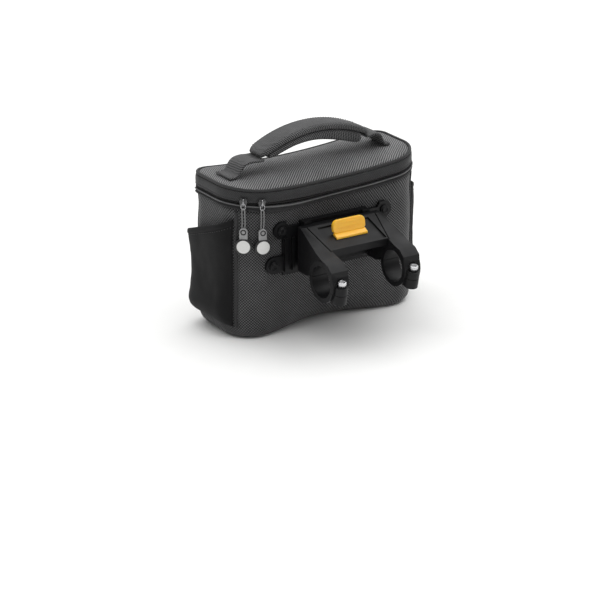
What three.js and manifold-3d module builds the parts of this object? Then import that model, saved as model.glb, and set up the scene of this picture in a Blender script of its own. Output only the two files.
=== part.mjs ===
// A bicycle handlebar bag with its quick-release adapter, built in millimetres.
// +X is the rider's right, +Y points forward along the road and +Z is up.
// The bag stands on its base, with the origin in the middle of the base.
import * as THREE from 'three';
import { mergeVertices } from 'three/addons/utils/BufferGeometryUtils.js';
import Module from 'manifold-3d';

const wasm = await Module();
wasm.setup();

// General clearance between neighbouring pieces, and the wall of the plain fabric bands.
const gap = 0.3;
const fabric = 2;

// Padded walls: cloth, foam and lining of the body, its base and the lid.
const bodyWall = 2.6;
const baseWall = 5;
const lidWall = 3.2;

// Lid: half length, half depth, the two plan radii, and the height of its top seam.
const lidHalfLength = 110;
const lidHalfDepth = 45;
const lidRearRadius = 37;
const lidFrontRadius = 22;
const lidSeamHeight = 149;
const lidCrown = 7;
const lidCrownPower = 2.4;
const lidEndLift = 7.5;
const skirtHeight = 9.8;
const pipingRadius = 1.5;

// Zip under the skirt: coil and the proud lower tape.
const coilRadius = 1.3;
const coilInset = 1.2;
const tapeHeight = 4.6;
const tapeProud = 1;
const tapeThickness = 3.6;

// Body of the bag.
const bodyHalfLength = 108;
const bodyHalfDepth = 43;
const bodyRearRadius = 30;
const bodyFrontRadius = 19;
const endRound = 10;
const frontRound = 14;
const rearRoundAtEnds = 7;
const rearRoundDepth = 30;
const rearRoundHeight = 40;
const seamRadius = 1.1;
const boardThickness = 2.5;
const boardInset = 3;

// Side pockets.
const pocketWall = 1.5;
const pocketStandoff = 9;
const pocketBottom = 13;
const pocketTopRear = 125.5;
const pocketTopFront = 92;

// Handle: an arch of one radius, a strap on top and a padded sleeve under it.
const handleApex = 194;
const handleArchRadius = 128;
const handleCentre = 3;
const handleLeftReach = 65;
const handleRightReach = 69;
const handleWidth = 28;
const strapThickness = 5.6;
const padWidth = 25;
const padThickness = 8;
const padFullness = 3.4;
const padClearance = 0.5;
const padLeftReach = 58;
const padRightReach = 50;
const strapEndSize = 0.72;
const webbing = 2.4;
const tabWidth = 26;
const tabTuck = 2;
const tabLeftEnd = -97;
const tabRightEnd = 102;

// Zip pulls: the angle round the rear left corner, cord, moulded grip and disc.
const sliderLeftAngle = 231;
const sliderRightAngle = 257;
const sliderWidth = 8;
const sliderHeight = 9;
const sliderDepth = 3.4;
const cordRadius = 0.65;
const cordLength = 18;
const gripNeckWidth = 8.4;
const gripNeckLength = 11;
const gripRadius = 8.4;
const gripThickness = 3.6;
const discRadius = 6.5;
const discThickness = 1;

// Back plate, its rails and rivets.
const plateThickness = 3;
const plateTop = 114;
const plateBottom = 62;
const rivetUpperX = 59.5;
const rivetUpperZ = 107.5;
const rivetLowerX = 68.6;
const rivetLowerZ = 73.5;
const earRadius = 8.5;
const rivetHeadRadius = 4.8;
const rivetHeadHeight = 2.6;
const rivetShankRadius = 2;
const ribWidth = 3;
const ribHeight = 3;
const ribInnerX = 47.5;
const ribOuterX = 56;
const tongueHalfWidth = 33;
const tongueThickness = 2.8;
const tongueTop = 110.6;
const tongueBottom = 64;
const railWidth = 4.6;
const lipReach = 3.6;
const lipThickness = 3.2;
const railBottom = 66;

// Adapter: housing, clamps for a round bar, bolts and lever.
const housingTop = 111.3;
const slopeFarY = -59.5;
const slopeNearY = -91.8;
const slopeNearZ = 96.3;
const housingHalfFar = 45.8;
const housingHalfNear = 38.7;
const shelfThickness = 7;
const shelfReach = 14;
const shelfDrop = 2;
const housingFootRise = 3;
const undersideReach = 8;
const undersideRise = 12;
const housingWall = 2.4;
const housingRoof = 2.6;
const grooveRoof = 4.8;
const hollowInset = 1.2;
const armWall = 2.3;
const armRoof = 3.2;
const recessDepth = 1.8;
const recessHalfFar = 29.4;
const recessHalfNear = 32.6;
const recessFarY = -62.4;
const recessNearY = -90.3;
const grooveWidth = 1.2;
const grooveDepth = 1.6;
const grooveInset = 5;
const armRootInset = 11;
const armCrown = 1.4;
const armRootReach = 11.5;
const barRadius = 15.9;
const barY = -101.5;
const barZ = 71;
const clampWall = 4.6;
const clampWidth = 18.5;
const clampCentreX = 41.4;
const splitTilt = 12;
const splitOffset = -3;
const splitGap = 0.5;
const bossRadius = 6.8;
const bossTop = 8;
const capEarDepth = 10;
const boltRadius = 2.5;
const boltHeadRadius = 4.3;
const boltHeadHeight = 4.6;
const boltHoleClearance = 0.4;
const boltHoleWall = 2;
const boltTip = 7;
const headClearance = 0.5;
const socketRadius = 2.4;
const socketDepth = 2.4;
const leverWidth = 37.2;
const leverTop = 117.8;
const leverTopY = -70.6;
const leverThickness = 3.4;
const leverHingeY = -73.2;
const leverHubRadius = 2.2;
const leverHubClearance = 0.4;
const leverHubInset = 1;
const leverHubSink = 0.8;
const leverBaseRise = 2.5;
const leverNeckThickness = 2.4;
const flangeLength = 6.2;
const flangeThickness = 1.8;
const flangeRootThickness = 2.1;
const flangeClearance = 0.45;
const gripRibCount = 2;
const gripRibHeight = 1.4;

// Derived levels.
const skirtTop = pipingRadius + 2 * gap - 0.2;
const skirtBottom = skirtTop + skirtHeight;
const panelInset = 2 * pipingRadius + gap;
const coilDrop = skirtBottom + gap + coilRadius;
const tapeTop = coilDrop + coilRadius + gap;
const tapeBottom = tapeTop + tapeHeight;
const bodyRimDrop = tapeBottom + gap;
const bodyRim = lidSeamHeight - bodyRimDrop;
const plateFace = -bodyHalfDepth - gap;
const plateRear = plateFace - plateThickness;
const tongueFront = plateRear - gap;
const tongueRear = tongueFront - tongueThickness;
const lipFront = tongueRear - gap;
const railRear = lipFront - lipThickness;
const housingFront = railRear - gap;
const housingFoot = tongueBottom + housingFootRise;

const degrees = (angle) => (angle * Math.PI) / 180;
const mix = (a, b, t) => a + (b - a) * t;

// Value of a short table at a position, with straight lines between its rows.
function along(table, key, value, position) {
  const last = table[table.length - 1];
  if (position >= last[key]) return last[value];
  const next = Math.max(1, table.findIndex((row) => row[key] > position));
  const a = table[next - 1];
  const b = table[next];
  const t = Math.max(0, (position - a[key]) / (b[key] - a[key]));
  return mix(a[value], b[value], t);
}

// Geometry helpers

function bodyFromTriangles(points, triangles) {
  const geometry = new THREE.BufferGeometry();
  const flat = points.flatMap((p) => [p.x, p.y, p.z]);
  geometry.setAttribute('position', new THREE.Float32BufferAttribute(flat, 3));
  geometry.setIndex(triangles.flat());
  return geometry;
}

// Closed body through rings of equal length, capped by a fan at both ends.
function loft(rings) {
  const count = rings[0].length;
  const points = rings.flat();
  const triangles = [];
  for (let r = 0; r + 1 < rings.length; r += 1) {
    for (let i = 0; i < count; i += 1) {
      const a = r * count + i;
      const b = r * count + ((i + 1) % count);
      triangles.push([a, b, b + count], [a, b + count, a + count]);
    }
  }
  const middle = (ring) => ring.reduce((sum, p) => sum.add(p), new THREE.Vector3()).divideScalar(count);
  const first = points.push(middle(rings[0])) - 1;
  const last = points.push(middle(rings[rings.length - 1])) - 1;
  const top = (rings.length - 1) * count;
  for (let i = 0; i < count; i += 1) {
    const j = (i + 1) % count;
    triangles.push([first, j, i], [last, top + i, top + j]);
  }
  return bodyFromTriangles(points, triangles);
}

// Closed loop of sections, such as a band round the whole lid.
function loopLoft(sections) {
  const count = sections[0].length;
  const points = sections.flat();
  const triangles = [];
  for (let s = 0; s < sections.length; s += 1) {
    const next = (s + 1) % sections.length;
    for (let i = 0; i < count; i += 1) {
      const a = s * count + i;
      const b = s * count + ((i + 1) % count);
      const c = next * count + ((i + 1) % count);
      const d = next * count + i;
      triangles.push([a, b, c], [a, c, d]);
    }
  }
  return bodyFromTriangles(points, triangles);
}

// Sheet of a given thickness: outer and inner grids of rows and columns, joined at the edge.
function thickSheet(outer, inner) {
  const rows = outer.length;
  const columns = outer[0].length;
  const points = [...outer.flat(), ...inner.flat()];
  const half = rows * columns;
  const triangles = [];
  for (let r = 0; r + 1 < rows; r += 1) {
    for (let c = 0; c + 1 < columns; c += 1) {
      const a = r * columns + c;
      const b = a + 1;
      const d = a + columns;
      const e = d + 1;
      triangles.push([a, b, e], [a, e, d]);
      triangles.push([half + a, half + e, half + b], [half + a, half + d, half + e]);
    }
  }
  const border = [];
  for (let c = 0; c + 1 < columns; c += 1) border.push(c);
  for (let r = 0; r + 1 < rows; r += 1) border.push(r * columns + columns - 1);
  for (let c = columns - 1; c > 0; c -= 1) border.push((rows - 1) * columns + c);
  for (let r = rows - 1; r > 0; r -= 1) border.push(r * columns);
  border.forEach((a, i) => {
    const b = border[(i + 1) % border.length];
    triangles.push([b, a, half + a], [b, half + a, half + b]);
  });
  return bodyFromTriangles(points, triangles);
}

function solid(geometry) {
  const bare = geometry.clone();
  bare.deleteAttribute('normal');
  bare.deleteAttribute('uv');
  const merged = mergeVertices(bare, 1e-4);
  return new wasm.Manifold(new wasm.Mesh({
    numProp: 3,
    vertProperties: new Float32Array(merged.attributes.position.array),
    triVerts: new Uint32Array(merged.index.array),
  }));
}

function geometryOf(manifold) {
  const mesh = manifold.getMesh();
  const geometry = new THREE.BufferGeometry();
  geometry.setAttribute('position', new THREE.Float32BufferAttribute(Array.from(mesh.vertProperties), 3));
  geometry.setIndex(Array.from(mesh.triVerts));
  return geometry;
}

// Prism whose side profile lies in the YZ plane and whose ends lie at x values that may follow y.
function prism(profile, fromX, toX) {
  const at = (x, y) => (typeof x === 'function' ? x(y) : x);
  const outline = profile.map(([y, z]) => new THREE.Vector2(y, z));
  if (!THREE.ShapeUtils.isClockWise(outline)) outline.reverse();
  outline.reverse();
  const near = outline.map((p) => new THREE.Vector3(at(fromX, p.x), p.x, p.y));
  const far = outline.map((p) => new THREE.Vector3(at(toX, p.x), p.x, p.y));
  const count = outline.length;
  const triangles = [];
  THREE.ShapeUtils.triangulateShape(outline, []).forEach(([a, b, c]) => {
    triangles.push([a, c, b], [count + a, count + b, count + c]);
  });
  for (let i = 0; i < count; i += 1) {
    const j = (i + 1) % count;
    triangles.push([i, j, count + j], [i, count + j, count + i]);
  }
  return bodyFromTriangles([...near, ...far], triangles);
}

function box(x0, x1, y0, y1, z0, z1) {
  const geometry = new THREE.BoxGeometry(x1 - x0, y1 - y0, z1 - z0);
  return geometry.translate((x0 + x1) / 2, (y0 + y1) / 2, (z0 + z1) / 2);
}

// Round bar between two points.
function rod(radius, from, to, sides) {
  const axis = new THREE.Vector3().subVectors(to, from);
  const geometry = new THREE.CylinderGeometry(radius, radius, axis.length(), sides);
  const upright = new THREE.Vector3(0, 1, 0);
  const turn = new THREE.Quaternion().setFromUnitVectors(upright, axis.clone().normalize());
  geometry.applyQuaternion(turn);
  const centre = new THREE.Vector3().addVectors(from, to).multiplyScalar(0.5);
  return geometry.translate(centre.x, centre.y, centre.z);
}

// Plan outlines, counted anticlockwise from the left end of the straight rear edge

const straightSteps = 8;
const sideSteps = 3;
const rearCornerSteps = 6;
const frontCornerSteps = 4;
const rearRightSeam = straightSteps + 4;
const rightFrontCorner = straightSteps + rearCornerSteps + sideSteps;
const frontRightSeam = rightFrontCorner + frontCornerSteps / 2;
const leftFrontCorner = rightFrontCorner + frontCornerSteps + straightSteps;
const frontLeftSeam = leftFrontCorner + frontCornerSteps / 2;
const rearLeftCorner = leftFrontCorner + frontCornerSteps + sideSteps;
const rearLeftSeam = rearLeftCorner + 2;
const planCount = rearLeftCorner + rearCornerSteps;

function plan({ halfLength, rear, front, rearRadius, frontRadius }) {
  const points = [];
  const line = (x0, y0, x1, y1, nx, ny, steps, skipFirst) => {
    for (let i = skipFirst ? 1 : 0; i <= steps; i += 1) {
      points.push({ x: mix(x0, x1, i / steps), y: mix(y0, y1, i / steps), nx, ny });
    }
  };
  const arc = (cx, cy, radius, start, steps, end) => {
    for (let i = 1; i <= end; i += 1) {
      const angle = degrees(start + (90 * i) / steps);
      const nx = Math.cos(angle);
      const ny = Math.sin(angle);
      points.push({ x: cx + radius * nx, y: cy + radius * ny, nx, ny });
    }
  };
  const rearX = halfLength - rearRadius;
  const frontX = halfLength - frontRadius;
  line(-rearX, rear, rearX, rear, 0, -1, straightSteps, false);
  arc(rearX, rear + rearRadius, rearRadius, 270, rearCornerSteps, rearCornerSteps);
  line(halfLength, rear + rearRadius, halfLength, front - frontRadius, 1, 0, sideSteps, true);
  arc(frontX, front - frontRadius, frontRadius, 0, frontCornerSteps, frontCornerSteps);
  line(frontX, front, -frontX, front, 0, 1, straightSteps, true);
  arc(-frontX, front - frontRadius, frontRadius, 90, frontCornerSteps, frontCornerSteps);
  line(-halfLength, front - frontRadius, -halfLength, rear + rearRadius, -1, 0, sideSteps, true);
  arc(-rearX, rear + rearRadius, rearRadius, 180, rearCornerSteps, rearCornerSteps - 1);
  return points;
}

const lidPlan = plan({
  halfLength: lidHalfLength,
  rear: -lidHalfDepth,
  front: lidHalfDepth,
  rearRadius: lidRearRadius,
  frontRadius: lidFrontRadius,
});

// The ends of the lid curl up, so every level round the lid is lifted towards both ends.
const endLift = (x) => lidEndLift * (x / lidHalfLength) ** 2;

function lidPoint(p, outward, drop) {
  const x = p.x + p.nx * outward;
  const y = p.y + p.ny * outward;
  return new THREE.Vector3(x, y, lidSeamHeight + endLift(p.x) - drop);
}

// Height of the crowned top panel, from how far out a point lies between the centre and the edge.
function insideLid(x, y) {
  const cornerRadius = y < 0 ? lidRearRadius : lidFrontRadius;
  const dx = Math.max(0, Math.abs(x) - (lidHalfLength - cornerRadius));
  const dy = Math.max(0, Math.abs(y) - (lidHalfDepth - cornerRadius));
  return Math.hypot(dx, dy) <= cornerRadius - panelInset;
}

function lidSurface(x, y) {
  let low = 0;
  let high = 1;
  for (let i = 0; i < 24; i += 1) {
    const share = (low + high) / 2;
    if (insideLid(x / share, y / share)) high = share;
    else low = share;
  }
  return lidSeamHeight + endLift(x) + lidCrown * (1 - high ** lidCrownPower);
}

// Soft goods

function makeLidPanel() {
  const shares = [0.12, 0.35, 0.58, 0.78, 0.92, 1];
  const ring = (share, lower) => lidPlan.map((p) => {
    const x = (p.x - p.nx * panelInset) * share;
    const y = (p.y - p.ny * panelInset) * share;
    const crown = lidCrown * (1 - share ** lidCrownPower);
    return new THREE.Vector3(x, y, lidSeamHeight + endLift(x) + crown + fabric / 2 - lower);
  });
  const under = shares.map((share) => ring(share, lidWall));
  const over = shares.map((share) => ring(share, 0)).reverse();
  return loft([...under, ...over]);
}

// Section of a band as [outward, drop] pairs, carried round the lid's plan.
function lidBand(section, from, to) {
  const whole = from === undefined;
  const stretch = whole ? lidPlan : [];
  if (!whole) {
    for (let i = from; i <= to; i += 1) stretch.push(lidPlan[i % planCount]);
  }
  const rings = stretch.map((p) => section.map(([outward, drop]) => lidPoint(p, outward, drop)));
  return whole ? loopLoft(rings) : loft(rings);
}

function rectangle(outer, thickness, top, bottom) {
  return [[outer, top], [outer, bottom], [outer - thickness, bottom], [outer - thickness, top]];
}

function circle(outward, drop, radius, sides) {
  return Array.from({ length: sides }, (_, i) => {
    const angle = (2 * Math.PI * i) / sides;
    return [outward + radius * Math.cos(angle), drop + radius * Math.sin(angle)];
  });
}

const zipStart = leftFrontCorner + frontCornerSteps - 1;
const zipEnd = planCount + rightFrontCorner + 1;
const hingeStart = rightFrontCorner + 2;
const hingeEnd = leftFrontCorner + frontCornerSteps - 2;

const makeLidPiping = () => lidBand(circle(-pipingRadius, 0, pipingRadius, 6));
const makeLidSkirt = () => lidBand(rectangle(0, fabric, skirtTop, skirtBottom));
const makeZipCoil = () => lidBand(circle(-coilInset, coilDrop, coilRadius, 6), zipStart, zipEnd);
const makeZipTape = () => lidBand(rectangle(tapeProud, tapeThickness, tapeTop, tapeBottom), zipStart, zipEnd);
const makeLidHinge = () => {
  const section = rectangle(0, fabric + 0.6, skirtBottom + gap, tapeBottom);
  return lidBand(section, hingeStart, hingeEnd);
};

// Body levels as shares of the rim height, with the half length and depth as shares of the largest.
const bodyLevels = [
  { level: 0, length: 0.995, depth: 1 },
  { level: 0.012, length: 0.995, depth: 1 },
  { level: 0.04, length: 0.995, depth: 1 },
  { level: 0.085, length: 0.997, depth: 1 },
  { level: 0.15, length: 1, depth: 1 },
  { level: 0.24, length: 1, depth: 1 },
  { level: 0.35, length: 0.997, depth: 1 },
  { level: 0.55, length: 0.995, depth: 1 },
  { level: 0.75, length: 0.997, depth: 1 },
  { level: 0.9, length: 0.988, depth: 0.995 },
  { level: 1, length: 0.995, depth: 1 },
];

// How far a rounded bottom edge draws in at a height.
function roundIn(height, reach, rise) {
  if (height >= rise) return 0;
  return reach * (1 - Math.sqrt(1 - (1 - height / rise) ** 2));
}

// Ring of the body at a height; wall moves it inwards, and curl lifts it towards the ends.
function bodyRing(height, wall) {
  const share = height / bodyRim;
  const length = bodyHalfLength * along(bodyLevels, 'level', 'length', share) - wall;
  const depth = bodyHalfDepth * along(bodyLevels, 'level', 'depth', share) - wall;
  const halfLength = length - roundIn(height, endRound, endRound);
  const front = depth - roundIn(height, frontRound, frontRound);
  const rear = -depth + roundIn(height, rearRoundAtEnds, rearRoundAtEnds);
  const room = (front - rear) * 0.45;
  const ring = plan({
    halfLength,
    rear,
    front,
    rearRadius: Math.min(bodyRearRadius - wall, room),
    frontRadius: Math.min(bodyFrontRadius - wall, room),
  });
  return ring.map((p) => {
    const across = Math.min(1, Math.abs(p.x) / (0.85 * halfLength));
    const middle = Math.cos((Math.PI / 2) * across) ** 2;
    const reach = mix(rearRoundAtEnds, rearRoundDepth, middle);
    const rise = mix(rearRoundAtEnds, rearRoundHeight, middle);
    const extra = roundIn(height, reach, rise) - roundIn(height, rearRoundAtEnds, rearRoundAtEnds);
    const y = p.y < 0 ? p.y * (1 - Math.max(0, extra) / Math.abs(rear)) : p.y;
    const curl = endLift(p.x) * share ** 2;
    return { point: new THREE.Vector3(p.x, y, height + curl), nx: p.nx, ny: p.ny };
  });
}

function makeBagBody() {
  const outer = bodyLevels.map((row) => bodyRing(row.level * bodyRim, 0).map((p) => p.point));
  const innerRows = bodyLevels.filter((row) => row.level * bodyRim > baseWall + bodyWall);
  const inner = innerRows.map((row) => bodyRing(row.level * bodyRim, bodyWall).map((p) => p.point));
  const floor = bodyRing(baseWall, bodyWall).map((p) => p.point);
  return loft([...outer, ...inner.reverse(), floor]);
}

// Stiff board that lies inside the bag on its padded base.
function makeBaseBoard() {
  const low = baseWall + gap;
  const outline = bodyRing(low, bodyWall + boardInset).map((p) => p.point);
  const under = outline.map((p) => new THREE.Vector3(p.x, p.y, low));
  const over = outline.map((p) => new THREE.Vector3(p.x, p.y, low + boardThickness));
  return loft([under, over]);
}

// Point on the body's face at a height and a place between the plan's numbered points.
function bodyFace(position, height, outward) {
  const ring = bodyRing(height, 0);
  const index = Math.floor(position);
  const t = position - index;
  const a = ring[index % planCount];
  const b = ring[(index + 1) % planCount];
  const normal = new THREE.Vector2(mix(a.nx, b.nx, t), mix(a.ny, b.ny, t)).normalize();
  const point = new THREE.Vector3().lerpVectors(a.point, b.point, t);
  return point.add(new THREE.Vector3(normal.x * outward, normal.y * outward, 0));
}

// Round ridge of a sewn corner, following the body from low on the wall to the zip.
function makeCornerSeam(index) {
  const levels = [0.1, 0.15, 0.24, 0.35, 0.5, 0.65, 0.8, 0.9, 0.985];
  const ring = bodyRing(bodyRim / 2, 0)[index % planCount];
  const normal = new THREE.Vector3(ring.nx, ring.ny, 0);
  const side = new THREE.Vector3(-ring.ny, ring.nx, 0);
  const rings = levels.map((level) => {
    const centre = bodyFace(index, level * bodyRim, seamRadius + gap);
    return Array.from({ length: 6 }, (_, i) => {
      const angle = (Math.PI * i) / 3;
      const offset = normal.clone().multiplyScalar(seamRadius * Math.cos(angle));
      return offset.addScaledVector(side, seamRadius * Math.sin(angle)).add(centre);
    });
  });
  return loft(rings);
}

// Stand-off of a side pocket: along the wall from rear seam to front seam, and from bottom to top.
const pocketAlong = [
  { along: 0, standoff: 0 },
  { along: 0.14, standoff: 0.4 },
  { along: 0.3, standoff: 0.62 },
  { along: 0.5, standoff: 0.85 },
  { along: 0.75, standoff: 1 },
  { along: 0.9, standoff: 0.8 },
  { along: 1, standoff: 0 },
];
const pocketUp = [
  { up: 0, standoff: 0 },
  { up: 0.06, standoff: 0.62 },
  { up: 0.16, standoff: 1 },
  { up: 0.34, standoff: 0.86 },
  { up: 0.55, standoff: 0.7 },
  { up: 0.8, standoff: 0.8 },
  { up: 1, standoff: 1 },
];

function makePocket(rearPosition, frontPosition) {
  const grid = (extra) => pocketUp.map((row) => pocketAlong.map((column) => {
    const top = mix(pocketTopRear, pocketTopFront, column.along);
    const height = mix(pocketBottom, top, row.up);
    const position = mix(rearPosition, frontPosition, column.along);
    const standoff = pocketStandoff * column.standoff * row.standoff;
    return bodyFace(position, height, gap + 0.15 + standoff + extra);
  }));
  const outer = grid(pocketWall);
  const inner = grid(0);
  const flip = rearPosition > frontPosition;
  return flip ? thickSheet(inner, outer) : thickSheet(outer, inner);
}

// Handle

// Point at a depth under the arch's top, on the radius that meets the top at x.
function archPoint(x, depth) {
  const angle = Math.asin((x - handleCentre) / handleArchRadius);
  const radius = handleArchRadius - depth;
  return {
    x: handleCentre + radius * Math.sin(angle),
    z: handleApex - handleArchRadius + radius * Math.cos(angle),
  };
}

// Soft rectangular section with rounded edges, across (y) and up (z).
function softSection(width, thickness, crown) {
  const w = width / 2;
  const t = thickness / 2;
  const e = Math.min(t, 2.2);
  return [
    [-w, -t + e], [-w + e, -t], [0, -t], [w - e, -t], [w, -t + e],
    [w, t - e], [w - e, t], [0, t + crown], [-w + e, t], [-w, t - e],
  ];
}

// Bar swept along a path in the XZ plane; each stop has x, z and a section.
function sweepXZ(stops) {
  const rings = stops.map((stop, i) => {
    const before = stops[Math.max(0, i - 1)];
    const after = stops[Math.min(stops.length - 1, i + 1)];
    const angle = Math.atan2(after.z - before.z, after.x - before.x);
    return stop.section.map(([across, up]) => new THREE.Vector3(
      stop.x - up * Math.sin(angle),
      across,
      stop.z + up * Math.cos(angle),
    ));
  });
  return loft(rings);
}

const strapStops = [0, 0.03, 0.12, 0.24, 0.36, 0.48, 0.6, 0.72, 0.84, 0.95, 1];
const strapEnds = [
  { share: 0, size: strapEndSize },
  { share: 0.03, size: 1 },
  { share: 0.97, size: 1 },
  { share: 1, size: strapEndSize },
];

function makeHandleStrap() {
  return sweepXZ(strapStops.map((share) => {
    const x = handleCentre + mix(-handleLeftReach, handleRightReach, share);
    const size = along(strapEnds, 'share', 'size', share);
    const thickness = strapThickness * size;
    return { ...archPoint(x, strapThickness / 2), section: softSection(handleWidth * size, thickness, 0.8) };
  }));
}

// The padded sleeve is thin at its left end and hangs fullest right of the middle.
const padShape = [
  { share: 0, full: 0, size: 0.5 },
  { share: 0.06, full: 0, size: 0.85 },
  { share: 0.3, full: 0, size: 1 },
  { share: 0.5, full: 0.35, size: 1 },
  { share: 0.7, full: 0.9, size: 1 },
  { share: 0.88, full: 1, size: 1 },
  { share: 1, full: 0.2, size: 0.6 },
];

function makeHandlePad() {
  const shares = [0, 0.06, 0.18, 0.3, 0.4, 0.5, 0.6, 0.7, 0.8, 0.88, 0.95, 1];
  return sweepXZ(shares.map((share) => {
    const x = handleCentre + mix(-padLeftReach, padRightReach, share);
    const size = along(padShape, 'share', 'size', share);
    const thickness = padThickness * size + padFullness * along(padShape, 'share', 'full', share);
    const depth = strapThickness + padClearance + thickness / 2;
    return { ...archPoint(x, depth), section: softSection(padWidth, thickness, 0) };
  }));
}

// Webbing tab: it starts under the end of the strap, drops to the lid and ends in a sewn foot.
const tabPath = [
  { out: 0, up: 1 },
  { out: 0.14, up: 1 },
  { out: 0.3, up: 1.06 },
  { out: 0.45, up: 1.03 },
  { out: 0.55, up: 0.92 },
  { out: 0.62, up: 0.72 },
  { out: 0.68, up: 0.42 },
  { out: 0.75, up: 0.14 },
  { out: 0.84, up: 0 },
  { out: 1, up: 0 },
];

function makeHandleTab(side) {
  const strapEnd = handleCentre + side * (side < 0 ? handleLeftReach : handleRightReach);
  const underside = archPoint(strapEnd, strapThickness * (1 + strapEndSize) / 2);
  const start = underside.x - side * tabTuck;
  const startZ = underside.z - padClearance - webbing / 2;
  const end = side < 0 ? tabLeftEnd : tabRightEnd;
  const footRise = fabric / 2 + gap + 0.1 + webbing / 2;
  const stops = tabPath.map((row) => {
    const x = mix(start, end, row.out);
    const ground = lidSurface(x, 0) + footRise;
    return { x, z: mix(ground, startZ, row.up), section: softSection(tabWidth, webbing, 0) };
  });
  return sweepXZ(side < 0 ? stops.reverse() : stops);
}

// Zip pulls

// Frame at an angle round the lid's rear left corner: a place, outward and sideways directions.
function pullFrame(angle, outward) {
  const nx = Math.cos(degrees(angle));
  const ny = Math.sin(degrees(angle));
  const centreX = -(lidHalfLength - lidRearRadius);
  const centreY = -(lidHalfDepth - lidRearRadius);
  const x = centreX + (lidRearRadius + outward) * nx;
  const y = centreY + (lidRearRadius + outward) * ny;
  const basis = new THREE.Matrix4().makeBasis(
    new THREE.Vector3(-ny, nx, 0),
    new THREE.Vector3(0, 0, 1),
    new THREE.Vector3(nx, ny, 0),
  );
  return { basis, x, y, z: lidSeamHeight + endLift(centreX + lidRearRadius * nx) };
}

// Flat outline in the pull's own plane, extruded outwards.
function pullPiece(angle, shape, drop, outward, depth, bevel) {
  const frame = pullFrame(angle, outward);
  const geometry = new THREE.ExtrudeGeometry(shape, {
    depth: depth - 2 * bevel,
    bevelEnabled: bevel > 0,
    bevelThickness: bevel,
    bevelSize: bevel,
    bevelOffset: -bevel,
    bevelSegments: 1,
    curveSegments: 10,
  });
  geometry.translate(0, 0, bevel);
  geometry.applyMatrix4(frame.basis);
  return geometry.translate(frame.x, frame.y, frame.z - drop);
}

const sliderDrop = coilDrop - coilRadius + sliderHeight / 2;
const sliderOut = tapeProud + gap;
const pullOut = sliderOut + 0.6;
const cordTopDrop = sliderDrop + sliderHeight / 2 + gap + cordRadius;
const gripTopDrop = cordTopDrop + cordLength + gap;
const gripCentreDrop = gripTopDrop + gripNeckLength + gripRadius * 0.8;

function makeSlider(angle) {
  const w = sliderWidth / 2;
  const h = sliderHeight / 2;
  const shape = new THREE.Shape();
  shape.moveTo(-w * 0.6, -h);
  shape.lineTo(w * 0.6, -h);
  shape.lineTo(w, h * 0.2);
  shape.lineTo(w * 0.8, h);
  shape.lineTo(-w * 0.8, h);
  shape.lineTo(-w, h * 0.2);
  shape.closePath();
  return pullPiece(angle, shape, sliderDrop, sliderOut, sliderDepth, 0.6);
}

// Thin cord loop: down both sides from the slider to the moulded grip.
function makePullCord(angle) {
  const frame = pullFrame(angle, pullOut + gripThickness / 2);
  const half = cordRadius * 2.1;
  const route = [[-half, -cordLength], [-half, -cordLength * 0.5], [-half * 0.8, -1.2], [0, 0],
    [half * 0.8, -1.2], [half, -cordLength * 0.5], [half, -cordLength]];
  const points = route.map(([x, y]) => new THREE.Vector3(x, y, 0));
  const section = new THREE.Shape();
  section.absarc(0, 0, cordRadius, 0, 2 * Math.PI);
  const geometry = new THREE.ExtrudeGeometry(section, {
    steps: 12,
    curveSegments: 4,
    extrudePath: new THREE.CatmullRomCurve3(points),
  });
  geometry.applyMatrix4(frame.basis);
  return geometry.translate(frame.x, frame.y, frame.z - cordTopDrop);
}

function makePullGrip(angle) {
  const w = gripNeckWidth / 2;
  const neckTop = gripCentreDrop - gripTopDrop;
  const start = Math.asin(w / gripRadius);
  const shape = new THREE.Shape();
  shape.moveTo(-w, neckTop - w * 0.6);
  shape.lineTo(-w, gripRadius * Math.cos(start));
  shape.absarc(0, 0, gripRadius, Math.PI / 2 + start, Math.PI / 2 - start + 2 * Math.PI, false);
  shape.lineTo(w, neckTop - w * 0.6);
  shape.lineTo(w * 0.55, neckTop);
  shape.lineTo(-w * 0.55, neckTop);
  shape.closePath();
  return pullPiece(angle, shape, gripCentreDrop, pullOut, gripThickness, 0.5);
}

function makePullDisc(angle) {
  const shape = new THREE.Shape();
  shape.absarc(0, 0, discRadius, 0, 2 * Math.PI);
  return pullPiece(angle, shape, gripCentreDrop, pullOut + gripThickness + gap, discThickness, 0.25);
}

// Back plate

const rivets = [
  [-rivetUpperX, rivetUpperZ],
  [rivetUpperX, rivetUpperZ],
  [-rivetLowerX, rivetLowerZ],
  [rivetLowerX, rivetLowerZ],
];

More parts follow.
